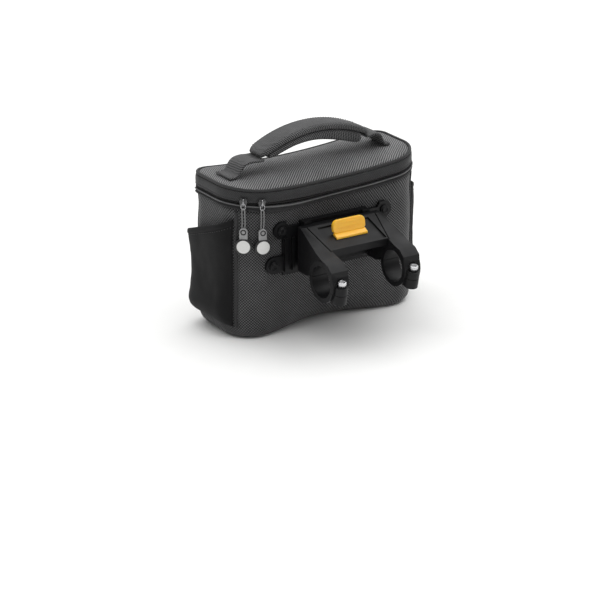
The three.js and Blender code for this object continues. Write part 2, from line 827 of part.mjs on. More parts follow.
function makeBackPlate() {
  const railOuter = tongueHalfWidth + gap + railWidth;
  const web = tongueHalfWidth + gap;
  const lipInner = web - lipReach;
  let plate = solid(box(-ribOuterX - 2, ribOuterX + 2, plateRear, plateFace, plateBottom, plateTop - 3));
  plate = plate.add(solid(box(-railOuter, railOuter, plateRear, plateFace, plateBottom, plateTop)));
  for (const [x, z] of rivets) {
    const rear = new THREE.Vector3(x, plateRear, z);
    const face = new THREE.Vector3(x, plateFace, z);
    plate = plate.add(solid(rod(earRadius, rear, face, 18)));
    const towards = Math.sign(x) * (ribOuterX - 2);
    const [x0, x1] = [Math.min(x, towards), Math.max(x, towards)];
    const arm = box(x0, x1, plateRear, plateFace, z - earRadius, z + earRadius);
    plate = plate.add(solid(arm));
  }
  for (const side of [-1, 1]) {
    for (const x of [ribInnerX, ribOuterX]) {
      const rib = box(side * x - ribWidth / 2, side * x + ribWidth / 2, plateRear - ribHeight, plateRear + 1,
        plateBottom + 4, rivetUpperZ - earRadius + 1);
      plate = plate.add(solid(rib));
    }
    const [x0, x1] = side < 0 ? [-railOuter, -web] : [web, railOuter];
    plate = plate.add(solid(box(x0, x1, railRear, plateRear + 1, railBottom, plateTop)));
    const [l0, l1] = side < 0 ? [-railOuter, -lipInner] : [lipInner, railOuter];
    plate = plate.add(solid(box(l0, l1, railRear, lipFront, railBottom, plateTop)));
  }
  const stopBottom = tongueTop + gap;
  plate = plate.add(solid(box(-railOuter, railOuter, lipFront, plateRear + 1, stopBottom, plateTop)));
  for (const [x, z] of rivets) {
    const from = new THREE.Vector3(x, plateRear - 5, z);
    const to = new THREE.Vector3(x, plateFace + 5, z);
    plate = plate.subtract(solid(rod(rivetShankRadius + gap, from, to, 12)));
  }
  return geometryOf(plate);
}

function makeRivet(x, z) {
  const base = gap;
  const length = plateThickness - gap;
  const profile = [
    [0, -length], [rivetShankRadius, -length], [rivetShankRadius, base], [rivetHeadRadius, base],
    [rivetHeadRadius, base + rivetHeadHeight * 0.45], [rivetHeadRadius * 0.8, base + rivetHeadHeight * 0.85],
    [rivetHeadRadius * 0.62, base + rivetHeadHeight], [rivetHeadRadius * 0.5, base + rivetHeadHeight * 0.7],
    [0, base + rivetHeadHeight * 0.7],
  ].map(([r, h]) => new THREE.Vector2(r, h));
  const geometry = new THREE.LatheGeometry(profile, 12);
  geometry.rotateX(Math.PI);
  return geometry.translate(x, plateRear, z);
}

// Adapter

const slope = (housingTop - slopeNearZ) / (slopeFarY - slopeNearY);
const topPlane = (y) => slopeNearZ + (y - slopeNearY) * slope;
const downSlope = (y) => (y - housingFront) / (slopeNearY - housingFront);
const housingHalf = (y) => mix(housingHalfFar, housingHalfNear, downSlope(y));
const clampCentre = (side) => new THREE.Vector3(side * clampCentreX, barY, barZ);
const clampOuter = barRadius + clampWall;
const clampInnerX = clampCentreX - clampWidth / 2;
const clampOuterX = clampCentreX + clampWidth / 2;

// Directions of the tilted split: along the split towards the rider, and up along the bolt.
const splitAlong = new THREE.Vector3(0, -Math.cos(degrees(splitTilt)), -Math.sin(degrees(splitTilt)));
const boltUp = new THREE.Vector3(0, -Math.sin(degrees(splitTilt)), Math.cos(degrees(splitTilt)));
const boltReach = barRadius + boltRadius + boltHoleClearance + boltHoleWall;

function boltPoint(side, rise) {
  return clampCentre(side)
    .addScaledVector(splitAlong, boltReach)
    .addScaledVector(boltUp, splitOffset + rise);
}

// Large block on one side of the split plane of a clamp, moved along the bolt.
function splitBlock(side, above, shift) {
  const reach = 60;
  const block = new THREE.BoxGeometry(clampWidth + 8, reach * 2, reach);
  block.translate(0, 0, above ? reach / 2 : -reach / 2);
  block.rotateX(degrees(splitTilt));
  const centre = clampCentre(side).addScaledVector(boltUp, splitOffset + shift);
  return solid(block.translate(centre.x, centre.y, centre.z));
}

function clampRing(side) {
  const from = new THREE.Vector3(side * clampCentreX - clampWidth / 2, barY, barZ);
  const to = new THREE.Vector3(side * clampCentreX + clampWidth / 2, barY, barZ);
  return solid(rod(clampOuter, from, to, 32));
}

function barBore() {
  const reach = clampOuterX + 10;
  const from = new THREE.Vector3(-reach, barY, barZ);
  const to = new THREE.Vector3(reach, barY, barZ);
  return solid(rod(barRadius, from, to, 36));
}

// Lug round a bolt, with a flat back that runs into the clamp ring.
function boltLug(side, from, to) {
  const bottom = boltPoint(side, from);
  const top = boltPoint(side, to);
  const lug = solid(rod(bossRadius, bottom, top, 24));
  const backing = new THREE.BoxGeometry(bossRadius * 2, bossRadius + 4, to - from);
  backing.rotateX(degrees(splitTilt));
  const centre = boltPoint(side, (from + to) / 2).addScaledVector(splitAlong, -(bossRadius + 4) / 2);
  return lug.add(solid(backing.translate(centre.x, centre.y, centre.z)));
}

function boltHole(side, from, to) {
  return solid(rod(boltRadius + boltHoleClearance, boltPoint(side, from), boltPoint(side, to), 20));
}

// Inner and outer faces of an arm, measured from the middle; they change towards the bar.
const toBar = (y) => Math.min(1, (y - housingFront) / (barY - housingFront));
const armInner = (y) => mix(housingHalfFar - armRootInset, clampInnerX, toBar(y));
const armOuter = (y) => mix(housingHalfFar, clampOuterX, toBar(y));

// Hollow under the sloping panel, open below; its roof is thicker round the lever's groove.
function housingHollow() {
  const farY = housingFront - housingWall;
  const nearY = slopeNearY + housingWall;
  const grooveFar = leverHingeY + grooveRoof;
  const grooveNear = leverHingeY - grooveRoof;
  const roof = (y, thickness) => Math.min(housingTop, topPlane(y)) - recessDepth - thickness;
  const profile = [
    [farY, tongueBottom - 1], [farY, roof(farY, housingRoof)], [slopeFarY, roof(slopeFarY, housingRoof)],
    [grooveFar, roof(grooveFar, housingRoof)], [grooveFar, roof(grooveFar, grooveRoof)],
    [grooveNear, roof(grooveNear, grooveRoof)], [grooveNear, roof(grooveNear, housingRoof)],
    [nearY, roof(nearY, housingRoof)], [nearY, tongueBottom - 1],
  ];
  return solid(prism(profile, (y) => hollowInset - armInner(y), (y) => armInner(y) - hollowInset));
}

// Hollow of an arm, open below; its near side leaves a wall round the clamp ring.
function armHollow(side) {
  const farY = housingFront - housingWall;
  const reach = clampOuter + armWall;
  const roundRing = [50, 25, 0].map((angle) => {
    return [barY + reach * Math.cos(degrees(angle)), barZ + reach * Math.sin(degrees(angle))];
  });
  const nearY = roundRing[0][0];
  const roof = (y) => Math.min(housingTop, topPlane(y)) - armRoof;
  const profile = [
    [farY, housingFoot - 1], [farY, roof(farY)], [slopeFarY, roof(slopeFarY)], [nearY, roof(nearY)],
    ...roundRing, [barY + reach, housingFoot - 1],
  ];
  const inner = (y) => side * (armInner(y) + armWall);
  const outer = (y) => side * (armOuter(y) - armWall);
  return solid(side < 0 ? prism(profile, outer, inner) : prism(profile, inner, outer));
}

function makeHousing() {
  const half = (y) => housingHalf(Math.max(y, slopeNearY));
  const centre = [
    [housingFront, housingFoot], [housingFront, housingTop], [slopeFarY, housingTop],
    [slopeNearY, slopeNearZ], [slopeNearY, slopeNearZ - shelfThickness],
    [slopeNearY + shelfReach, slopeNearZ - shelfThickness - shelfDrop],
    [housingFront - undersideReach, tongueBottom + undersideRise],
  ];
  let housing = solid(prism(centre, (y) => -half(y), (y) => half(y)));
  const tongue = box(-tongueHalfWidth, tongueHalfWidth, tongueRear, tongueFront, tongueBottom, tongueTop);
  const neckHalf = tongueHalfWidth - lipReach;
  const neck = box(-neckHalf, neckHalf, housingFront - 1, tongueRear + 1, housingFoot, tongueTop);
  housing = housing.add(solid(tongue)).add(solid(neck));
  const armProfile = [
    [housingFront, housingFoot], [housingFront, housingTop], [slopeFarY, housingTop],
    [slopeNearY, slopeNearZ], [barY - clampOuter * 0.05, barZ + clampOuter + armCrown],
    [barY - clampOuter * 0.54, barZ + clampOuter * 0.95],
    [barY - clampOuter * 0.88, barZ + clampOuter * 0.68],
    [barY - clampOuter * 0.95, barZ], [barY + clampOuter * 0.93, barZ],
    [barY + clampOuter + armRootReach, housingFoot],
  ];
  for (const side of [-1, 1]) {
    const inner = (y) => side * armInner(y);
    const outer = (y) => side * armOuter(y);
    const arm = side < 0 ? prism(armProfile, outer, inner) : prism(armProfile, inner, outer);
    housing = housing.add(solid(arm)).add(clampRing(side)).add(boltLug(side, 0, bossTop));
  }
  housing = housing.subtract(barBore()).subtract(housingHollow());
  housing = housing.subtract(armHollow(-1)).subtract(armHollow(1));
  for (const side of [-1, 1]) {
    const reach = 2 * clampOuter;
    const around = [side * (clampInnerX - 1), side * (clampOuterX + 1)].sort((a, b) => a - b);
    const near = solid(box(...around, barY - reach, barY + clampOuter + 2, barZ - reach, barZ + reach));
    housing = housing.subtract(splitBlock(side, false, splitGap / 2).intersect(near));
    housing = housing.subtract(boltHole(side, -capEarDepth, bossTop + 1));
    const above = boltPoint(side, bossTop + clampOuter);
    const seat = rod(boltHeadRadius + headClearance, boltPoint(side, bossTop), above, 20);
    housing = housing.subtract(solid(seat));
  }
  const recess = [
    [recessFarY, topPlane(recessFarY) - recessDepth], [recessFarY, topPlane(recessFarY) + 5],
    [recessNearY, topPlane(recessNearY) + 5], [recessNearY, topPlane(recessNearY) - recessDepth],
  ];
  const recessHalf = (y) => mix(recessHalfFar, recessHalfNear, (y - recessFarY) / (recessNearY - recessFarY));
  housing = housing.subtract(solid(prism(recess, (y) => -recessHalf(y), recessHalf)));
  const grooveEnd = slopeNearY - 2;
  for (const side of [-1, 1]) {
    const groove = [
      [slopeFarY, topPlane(slopeFarY) - grooveDepth], [slopeFarY, topPlane(slopeFarY) + 5],
      [grooveEnd, topPlane(grooveEnd) + 5], [grooveEnd, topPlane(grooveEnd) - grooveDepth],
    ];
    const edge = (y) => housingHalf(y) - grooveInset;
    const a = (y) => side * edge(y) - grooveWidth / 2;
    const b = (y) => side * edge(y) + grooveWidth / 2;
    housing = housing.subtract(solid(prism(groove, a, b)));
  }
  housing = housing.subtract(leverSeat());
  return geometryOf(housing);
}

function makeClampCap(side) {
  const ring = clampRing(side).add(boltLug(side, -capEarDepth, 0)).subtract(barBore());
  const cap = ring.subtract(splitBlock(side, true, -splitGap / 2));
  return geometryOf(cap.subtract(boltHole(side, -boltTip - 1, bossTop)));
}

function makeClampBolt(side) {
  const seat = bossTop + gap;
  const head = solid(rod(boltHeadRadius, boltPoint(side, seat), boltPoint(side, seat + boltHeadHeight), 20));
  const shank = solid(rod(boltRadius, boltPoint(side, -boltTip), boltPoint(side, seat + 0.5), 16));
  const top = seat + boltHeadHeight;
  const socket = rod(socketRadius, boltPoint(side, top - socketDepth), boltPoint(side, top + 1), 6);
  return geometryOf(head.add(shank).subtract(solid(socket)));
}

// Lever: a rocking hub in a groove of the panel, an upright with plain ribs and a flat flange.
const floorAt = (y) => topPlane(y) - recessDepth;
const hub = new THREE.Vector3(0, leverHingeY, floorAt(leverHingeY) - leverHubSink);

function hubRod(radius, half) {
  const from = new THREE.Vector3(-half, hub.y, hub.z);
  const to = new THREE.Vector3(half, hub.y, hub.z);
  return solid(rod(radius, from, to, 20));
}

function leverSeat() {
  const half = leverWidth / 2 - leverHubInset + leverHubClearance;
  const radius = leverHubRadius + leverHubClearance;
  return hubRod(radius, half);
}

function makeLever() {
  const half = leverWidth / 2 - leverHubInset;
  const base = hub.z + leverBaseRise;
  const height = leverTop - base;
  const w = leverWidth / 2;
  const round = height * 0.46;
  const shape = new THREE.Shape();
  shape.moveTo(-w + 2, 0);
  shape.lineTo(w - 2, 0);
  shape.lineTo(w, 2);
  shape.lineTo(w, height - round);
  shape.absarc(w - round, height - round, round, 0, Math.PI / 2);
  shape.lineTo(-w + round, height);
  shape.absarc(-w + round, height - round, round, Math.PI / 2, Math.PI);
  shape.lineTo(-w, 2);
  shape.closePath();
  const upright = new THREE.ExtrudeGeometry(shape, {
    depth: leverThickness - 1,
    bevelThickness: 0.5,
    bevelSize: 0.5,
    bevelOffset: -0.5,
    bevelSegments: 1,
    curveSegments: 6,
  });
  upright.translate(0, 0, 0.5 - leverThickness / 2);
  upright.rotateX(Math.PI / 2 - Math.atan2(leverTopY - leverHingeY, leverTop - hub.z));
  let lever = hubRod(leverHubRadius, half).add(solid(upright.translate(0, leverHingeY, base)));
  const neckHalf = leverNeckThickness / 2;
  const neck = box(-half + 1, half - 1, hub.y - neckHalf, hub.y + neckHalf, hub.z, base + 1.5);
  lever = lever.add(solid(neck));
  const nearY = leverHingeY - flangeLength;
  const under = (y) => floorAt(y) + flangeClearance;
  const flange = [
    [leverHingeY, under(leverHingeY)], [leverHingeY, under(leverHingeY) + flangeRootThickness],
    [nearY, under(nearY) + flangeThickness], [nearY, under(nearY)],
  ];
  lever = lever.add(solid(prism(flange, -w + 0.8, w - 0.8)));
  for (let i = 0; i < gripRibCount; i += 1) {
    const z = mix(base, leverTop, (i + 1.05) / (gripRibCount + 0.8));
    const y = mix(leverHingeY, leverTopY, (z - hub.z) / (leverTop - hub.z)) - leverThickness / 2;
    lever = lever.add(solid(box(-w + round * 0.9, w - round * 0.9, y - 0.8, y + 0.8,
      z - gripRibHeight / 2, z + gripRibHeight / 2)));
  }
  return geometryOf(lever);
}

// Assembly

const finishes = {
  wovenNylon: { color: '#3a3a3b', roughness: 0.85, metalness: 0 },
  smoothNylon: { color: '#2c2c2d', roughness: 0.75, metalness: 0 },
  stretchFabric: { color: '#232324', roughness: 0.9, metalness: 0 },
  webbingNylon: { color: '#343435', roughness: 0.8, metalness: 0 },
  zipNylon: { color: '#121213', roughness: 0.5, metalness: 0 },
  mouldedPlastic: { color: '#1b1b1d', roughness: 0.45, metalness: 0 },
  cordGrey: { color: '#6a6a6b', roughness: 0.8, metalness: 0 },
  gripRubber: { color: '#5c5c5e', roughness: 0.6, metalness: 0 },
  reflector: { color: '#c6c6c4', roughness: 0.5, metalness: 0 },
  leverYellow: { color: '#f5b62a', roughness: 0.4, metalness: 0 },
  boltSteel: { color: '#c8c8ca', roughness: 0.25, metalness: 1 },
};

function piece(name, geometry, finish) {
  const material = new THREE.MeshStandardMaterial(finishes[finish]);
  const mesh = new THREE.Mesh(geometry, material);
  mesh.name = name;
  return mesh;
}

const part = new THREE.Group();

part.add(piece('bag_body', makeBagBody(), 'wovenNylon'));
part.add(piece('base_board', makeBaseBoard(), 'mouldedPlastic'));
part.add(piece('lid_panel', makeLidPanel(), 'wovenNylon'));
part.add(piece('lid_piping', makeLidPiping(), 'smoothNylon'));
part.add(piece('lid_skirt', makeLidSkirt(), 'smoothNylon'));
part.add(piece('lid_hinge', makeLidHinge(), 'smoothNylon'));
part.add(piece('zip_coil', makeZipCoil(), 'zipNylon'));
part.add(piece('zip_tape', makeZipTape(), 'zipNylon'));

part.add(piece('corner_seam_rear_left', makeCornerSeam(rearLeftSeam), 'smoothNylon'));
part.add(piece('corner_seam_rear_right', makeCornerSeam(rearRightSeam), 'smoothNylon'));
part.add(piece('corner_seam_front_left', makeCornerSeam(frontLeftSeam), 'smoothNylon'));
part.add(piece('corner_seam_front_right', makeCornerSeam(frontRightSeam), 'smoothNylon'));

const seamKeepOff = 0.4;
const leftPocket = makePocket(rearLeftSeam - seamKeepOff, frontLeftSeam + seamKeepOff);
const rightPocket = makePocket(rearRightSeam + seamKeepOff, frontRightSeam - seamKeepOff);
part.add(piece('pocket_left', leftPocket, 'stretchFabric'));
part.add(piece('pocket_right', rightPocket, 'stretchFabric'));

part.add(piece('handle_strap', makeHandleStrap(), 'webbingNylon'));
part.add(piece('handle_pad', makeHandlePad(), 'webbingNylon'));
part.add(piece('handle_tab_left', makeHandleTab(-1), 'webbingNylon'));
part.add(piece('handle_tab_right', makeHandleTab(1), 'webbingNylon'));

for (const [side, angle] of [['left', sliderLeftAngle], ['right', sliderRightAngle]]) {
  part.add(piece(`zip_slider_${side}`, makeSlider(angle), 'zipNylon'));
  part.add(piece(`pull_cord_${side}`, makePullCord(angle), 'cordGrey'));
  part.add(piece(`pull_grip_${side}`, makePullGrip(angle), 'gripRubber'));
  part.add(piece(`pull_disc_${side}`, makePullDisc(angle), 'reflector'));
}

part.add(piece('back_plate', makeBackPlate(), 'mouldedPlastic'));
rivets.forEach(([x, z], i) => {
  part.add(piece(`plate_rivet_${i + 1}`, makeRivet(x, z), 'mouldedPlastic'));
});

part.add(piece('bracket_housing', makeHousing(), 'mouldedPlastic'));
for (const [name, side] of [['left', -1], ['right', 1]]) {
  part.add(piece(`clamp_cap_${name}`, makeClampCap(side), 'mouldedPlastic'));
  part.add(piece(`clamp_bolt_${name}`, makeClampBolt(side), 'boltSteel'));
}
part.add(piece('release_lever', makeLever(), 'leverYellow'));

export default part;
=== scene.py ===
"""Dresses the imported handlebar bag: woven cloth, zip, pulls, moulded adapter and a soft studio."""

import math

import bmesh
import bpy
from mathutils import Euler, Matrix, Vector, noise


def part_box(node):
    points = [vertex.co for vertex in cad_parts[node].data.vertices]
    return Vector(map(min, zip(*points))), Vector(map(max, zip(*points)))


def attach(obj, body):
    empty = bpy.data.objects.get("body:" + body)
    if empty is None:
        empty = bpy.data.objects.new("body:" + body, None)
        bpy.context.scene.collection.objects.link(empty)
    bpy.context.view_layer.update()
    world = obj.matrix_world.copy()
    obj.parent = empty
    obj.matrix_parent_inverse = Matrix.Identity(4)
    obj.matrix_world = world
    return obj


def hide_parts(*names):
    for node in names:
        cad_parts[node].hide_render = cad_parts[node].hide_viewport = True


bl_info = {
    "name": "Handlebar Bag",
    "version": (1, 0, 0),
    "blender": (4, 5, 0),
    "location": "View3D > Sidebar > Handlebar Bag",
    "description": "Builds the cloth, zip, pulls and adapter of a bicycle handlebar bag",
    "category": "Add Mesh",
}

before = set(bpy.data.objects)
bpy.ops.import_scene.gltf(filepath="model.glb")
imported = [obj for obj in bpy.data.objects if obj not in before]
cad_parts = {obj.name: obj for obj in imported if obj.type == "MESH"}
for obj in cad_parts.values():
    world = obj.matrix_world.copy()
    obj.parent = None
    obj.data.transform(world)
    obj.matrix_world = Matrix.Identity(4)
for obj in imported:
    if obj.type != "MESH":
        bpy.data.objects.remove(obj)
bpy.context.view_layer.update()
MM = 0.001


def half_sizes(node):
    """Half length and half depth of a node of the frame, in millimetres."""
    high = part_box(node)[1] / MM
    return high.x, high.y


def table(keys, *rows):
    """Rows of values as dictionaries with these keys."""
    return [dict(zip(keys.split(), row)) for row in rows]


# Main sizes, read from the frame, in millimetres
LID_HALF_LENGTH, LID_HALF_DEPTH = half_sizes("lid_skirt")
BODY_HALF_LENGTH, BODY_HALF_DEPTH = half_sizes("bag_body")

# Lid, as drawn in the frame
SEAM_HEIGHT = 149.0
LID_REAR_RADIUS = 37.0
LID_FRONT_RADIUS = 22.0
LID_END_LIFT = 7.5
LID_CROWN_POWER = 2.4
LID_FACE = 1.0
LID_WAVE = 0.5
PIPING_RADIUS = 1.5
GAP = 0.3
PANEL_INSET = 2 * PIPING_RADIUS + GAP
SKIRT_TOP = 1.9
SKIRT_BOTTOM = 11.7
COIL_DROP = 13.3
TAPE_TOP = 14.9
TAPE_BOTTOM = 19.5
BODY_RIM = SEAM_HEIGHT - TAPE_BOTTOM - GAP

# Body
BODY_REAR_RADIUS = 30.0
BODY_FRONT_RADIUS = 19.0
END_ROUND = 10.0
FRONT_ROUND = 14.0
REAR_ROUND_AT_ENDS = 7.0
REAR_ROUND_DEPTH = 30.0
REAR_ROUND_HEIGHT = 40.0
CLOTH = 1.8
LID_CLOTH = 1.4
STITCH = (2.1, 0.55, 0.4)
SKIRT_STITCH = {"out": 0.35, "drop": 9.9}
HINGE_STITCH = {"out": 0.3, "drop": 17.6}
BODY_LEVELS = table(
    "at length depth",
    (0.0, 0.995, 1.0), (0.085, 0.997, 1.0), (0.15, 1.0, 1.0), (0.35, 0.997, 1.0),
    (0.55, 0.995, 1.0), (0.75, 0.997, 1.0), (0.9, 0.988, 0.995), (1.0, 0.995, 1.0),
)

# Places round the plan, counted anticlockwise from the left end of the straight rear edge
PLAN_STEPS = (8, 6, 3, 4, 8, 4, 3, 6)
PLAN_COUNT = sum(PLAN_STEPS)
RINGS_PER_PLACE = 5
REAR_RIGHT_SEAM = 11.55
FRONT_RIGHT_SEAM = 19
FRONT_LEFT_SEAM = 31
REAR_LEFT_SEAM = 38.45
ZIP_START = 32
ZIP_END = PLAN_COUNT + 18
HINGE_START = 18.04
HINGE_END = 31.96

# Corner welts: from and to as shares of the body's height, half thickness and half width, how far their
# middle stands out, and the stitch line's distance from them in places round the plan
WELT_SPAN = (0.09, 0.985)
WELT_SIZE = (0.85, 1.5)
WELT_OUT = 0.5
WELT_STITCH = 0.42

# Handle
ARCH_APEX = 194.0
ARCH_RADIUS = 128.0
ARCH_CENTRE = 3.0
STRAP_REACH = (65.0, 63.0)
STRAP_WIDTH = 28.0
STRAP_THICKNESS = 5.6
STRAP_HEM = 2.6
PAD_REACH = (58.0, 56.0)
PAD_WIDTH = 25.0
PAD_THICKNESS = 8.0
PAD_FULLNESS = 3.4
PAD_CLEARANCE = 0.5
WEBBING = 2.4
TAB_WIDTH = 26.0
TAB_ENDS = (-97.0, 89.0)
TAB_BOX = (1.8, 11.5)

# Zip pulls
PULL_ANGLES = {"left": 231.0, "right": 257.0}
PULL_OUT = 1.9
SLIDER_DROP = 12.0
CORD_TOP_DROP = 17.2
CORD_LENGTH = 19.6
CORD_RADIUS = 0.65
GRIP_CENTRE_DROP = 55.5
GRIP_RADIUS = 8.4
GRIP_NECK = (8.4, 11.8)
GRIP_THICKNESS = 3.6
EYE_RADIUS = 2.3
DISC_RADIUS = 6.5

# Adapter
RIVETS = [(-59.5, 107.5), (59.5, 107.5), (-68.6, 73.5), (68.6, 73.5)]
PLATE_REAR = -46.3
BAR = Vector((0, -101.5, 71.0))
CLAMP_CENTRE_X = 41.4
SPLIT_TILT = 12.0
SPLIT_OFFSET = -3.0
BOLT_REACH = 20.8
BOLT_SEAT = 8.3

# Camera: the photograph's viewing angle, its distance, and where the lid's middle lies in the frame
VIEW_AZIMUTH = -33.0
VIEW_ELEVATION = 18.3
VIEW_DISTANCE = 2600.0
PIXELS_PER_MM = 1.02
IMAGE_SIZE = 600.0
TARGET_PIXEL = (307.5, 166.8)
SENSOR = 36.0

# Studio: height and heading of each lamp in degrees, its softness in degrees and its strength
LAMPS = [("Overhead", 74, 150, 100, 3.0), ("Right", 40, 40, 40, 0.25)]
SKY = 0.3
FLOOR_HALF = 30.0
FLOOR_DROP = 0.0002


def linear(code):
    """Linear RGBA of an sRGB hex colour."""
    channels = [int(code[i:i + 2], 16) / 255 for i in (1, 3, 5)]
    return [c / 12.92 if c <= 0.04045 else ((c + 0.055) / 1.055) ** 2.4 for c in channels] + [1.0]


def colour(label, code, words):
    return bpy.props.FloatVectorProperty(
        name=label, description=words, subtype="COLOR", size=4, min=0, max=1, default=linear(code)
    )


def length(label, value, words):
    return bpy.props.FloatProperty(
        name=label, description=words, unit="LENGTH", precision=4, min=0.0001, default=value * MM
    )


class BagSizes(bpy.types.PropertyGroup):
    """Sizes that change how the cloth and trim are made."""
    lid_crown: length("Lid crown", 7.0, "Rise of the lid's middle above its seam")
    weave: length("Weave", 1.45, "Width of one thread group in the coarse cloth")
    fine_weave: length("Fine weave", 0.8, "Width of one thread group in the smooth cloth")
    rib: length("Webbing rib", 1.3, "Width of one rib in the webbing")
    stitch: length("Stitch", 3.0, "Distance from one stitch to the next")
    coil_pitch: length("Coil pitch", 1.25, "Distance from one zip tooth to the next")
    edge_round: length("Moulded edge", 0.55, "Rounding of the moulded edges")


class BagColours(bpy.types.PropertyGroup):
    """Colours of the cloth, plastic and metal."""
    thread_light: colour("Thread crown", "#9c9c9d", "Where a coarse thread catches the light")
    thread_dark: colour("Thread gap", "#0e0e0f", "Between the coarse threads")
    # Darker than the lid's crown: painted shade for the body's side faces
    shaded_body_light: colour("Body thread crown", "#707071", "Where a coarse thread of the body catches the light")
    strap_light: colour("Webbing crown", "#7b7b7c", "Where a rib of the handle's webbing catches the light")
    smooth_light: colour("Smooth cloth", "#525253", "Fine threads of skirt and piping")
    smooth_dark: colour("Smooth cloth gap", "#161617", "Between the fine threads")
    stretch: colour("Stretch cloth", "#1c1c1d", "Knitted cloth of the side pockets")
    plastic: colour("Moulded plastic", "#0c0c0d", "Plate, housing and clamps")
    lever: colour("Lever", "#ffbe2a", "Moulded release lever")
    grip: colour("Pull neck", "#a9a9aa", "Moulded neck of the zip pulls")
    disc: colour("Reflective disc", "#c9c9c7", "Film on the zip pulls")


def linked(name, data):
    """Object with this data, put into the scene."""
    made = bpy.data.objects.new(name, data)
    bpy.context.scene.collection.objects.link(made)
    return made


# Materials

# Cloth: how far apart and how strongly the rows waver, the grain of the fuzz, the shares of weave and fuzz
# in the height, the height at which a crown is complete, and the worn patches: their scale and shades
WAVER = {"scale": 0.11, "share": 1.2}
FUZZ_SCALE = 1.1
WEAVE_SHARE, FUZZ_SHARE = 0.42, 0.45
CROWN_HEIGHT = 0.65
WORN = {"scale": 0.035, "darkest": 0.78, "palest": 1.15}
# Size of the broad patches in which a moulded surface changes its roughness
BROAD_PATCH = 14


def add_node(tree, kind, inputs=None, **settings):
    """Adds a node, sets its fields, and links or fills its inputs."""
    made = tree.nodes.new(kind)
    for field, value in settings.items():
        setattr(made, field, value)
    for key, value in (inputs or {}).items():
        if isinstance(value, bpy.types.NodeSocket):
            tree.links.new(value, made.inputs[key])
        else:
            made.inputs[key].default_value = value
    return made


def new_material(name, surface):
    """Material whose shader has these constants; returns it with its tree and shader."""
    material = bpy.data.materials.new(name)
    material.use_nodes = True
    shader = material.node_tree.nodes["Principled BSDF"]
    for key, value in surface.items():
        shader.inputs[key].default_value = value
    return material, material.node_tree, shader


def sine(tree, value, turns):
    """Sine of a distance, with a number of turns for each of its units."""
    angle = add_node(tree, "ShaderNodeMath", {0: value, 1: turns * math.tau}, operation="MULTIPLY")
    return add_node(tree, "ShaderNodeMath", {0: angle.outputs[0]}, operation="SINE").outputs[0]


def weighted(tree, first, share, second, other):
    """first * share + second * other."""
    a = add_node(tree, "ShaderNodeMath", {0: second, 1: other}, operation="MULTIPLY")
    inputs = {0: first, 1: share, 2: a.outputs[0]}
    return add_node(tree, "ShaderNodeMath", inputs, operation="MULTIPLY_ADD").outputs[0]


def noise_value(tree, place, scale, detail, roughness=0.5):
    inputs = {"Vector": place, "Scale": scale, "Detail": detail, "Roughness": roughness}
    return add_node(tree, "ShaderNodeTexNoise", inputs).outputs["Fac"]


def stretched(tree, value, low, high, to_low=0.0, to_high=1.0):
    """Value taken from one range to another."""
    inputs = {"Value": value, "From Min": low, "From Max": high, "To Min": to_low, "To Max": to_high}
    return add_node(tree, "ShaderNodeMapRange", inputs).outputs[0]


def add_bump(tree, shader, height, strength, depth):
    """Relief of the shader, with its depth in millimetres."""
    inputs = {"Height": height, "Strength": strength, "Distance": depth * MM}
    bump = add_node(tree, "ShaderNodeBump", inputs)
    tree.links.new(bump.outputs[0], shader.inputs["Normal"])


def cloth(name, dark, light, pitch, angle, lines, relief, surface):
    """Woven cloth: thread crowns in slanting rows on the piece's own UV map, which is in millimetres."""
    material, tree, shader = new_material(name, surface)
    place = add_node(tree, "ShaderNodeUVMap", uv_map="weave").outputs[0]
    inputs = {"Vector": place, "Rotation": (0, 0, math.radians(angle))}
    turned = add_node(tree, "ShaderNodeMapping", inputs)
    waver = noise_value(tree, place, WAVER["scale"], 2.0)
    split = add_node(tree, "ShaderNodeSeparateXYZ", {0: turned.outputs[0]})
    across = weighted(tree, split.outputs[0], 1.0, waver, pitch * WAVER["share"])
    turns = 1 / (pitch * math.sqrt(2))
    rows, crowns = sine(tree, across, turns), sine(tree, split.outputs[1], turns)
    weave = weighted(tree, rows, lines, crowns, 1 - lines)
    fuzz = noise_value(tree, place, FUZZ_SCALE, 3.0, 0.7)
    rough = weighted(tree, weave, WEAVE_SHARE, fuzz, FUZZ_SHARE)
    height = stretched(tree, rough, 0.0, CROWN_HEIGHT)
    patch = noise_value(tree, place, WORN["scale"], 3.0)
    worn = stretched(tree, patch, 0.25, 0.75, WORN["darkest"], WORN["palest"])
    threads = mix_colour(tree, height, dark, light)
    shade = add_node(tree, "ShaderNodeVectorMath", {0: threads, "Scale": worn}, operation="SCALE")
    tree.links.new(shade.outputs[0], shader.inputs["Base Color"])
    add_bump(tree, shader, height, 0.8, relief)
    return material


def mix_colour(tree, factor, first, second):
    """Colour between two colours."""
    made = tree.nodes.new("ShaderNodeMix")
    made.data_type = "RGBA"
    tree.links.new(factor, made.inputs[0])
    made.inputs[6].default_value = first
    made.inputs[7].default_value = second
    return made.outputs[2]


def speckled(name, first, second, grain, relief, surface, rough=None):
    """Surface with a fine grain on the object's own place: moulded plastic, film, metal or rubber."""
    material, tree, shader = new_material(name, surface)
    place = add_node(tree, "ShaderNodeTexCoord").outputs["Object"]
    fine = noise_value(tree, place, 1 / (grain * MM), 3.0)
    tree.links.new(mix_colour(tree, fine, first, second), shader.inputs["Base Color"])
    if rough:
        broad = noise_value(tree, place, 1 / (BROAD_PATCH * MM), 4.0)
        tree.links.new(stretched(tree, broad, 0.3, 0.7, *rough), shader.inputs["Roughness"])
    add_bump(tree, shader, fine, 0.5, relief)
    return material


# Surfaces of the cloths
MATT = {"Roughness": 0.65, "Sheen Weight": 0.16, "Sheen Roughness": 0.4, "Specular IOR Level": 0.18}
FLAT = {"Roughness": 0.8, "Sheen Weight": 0.08, "Sheen Roughness": 0.5, "Specular IOR Level": 0.15}
FINISH = {}


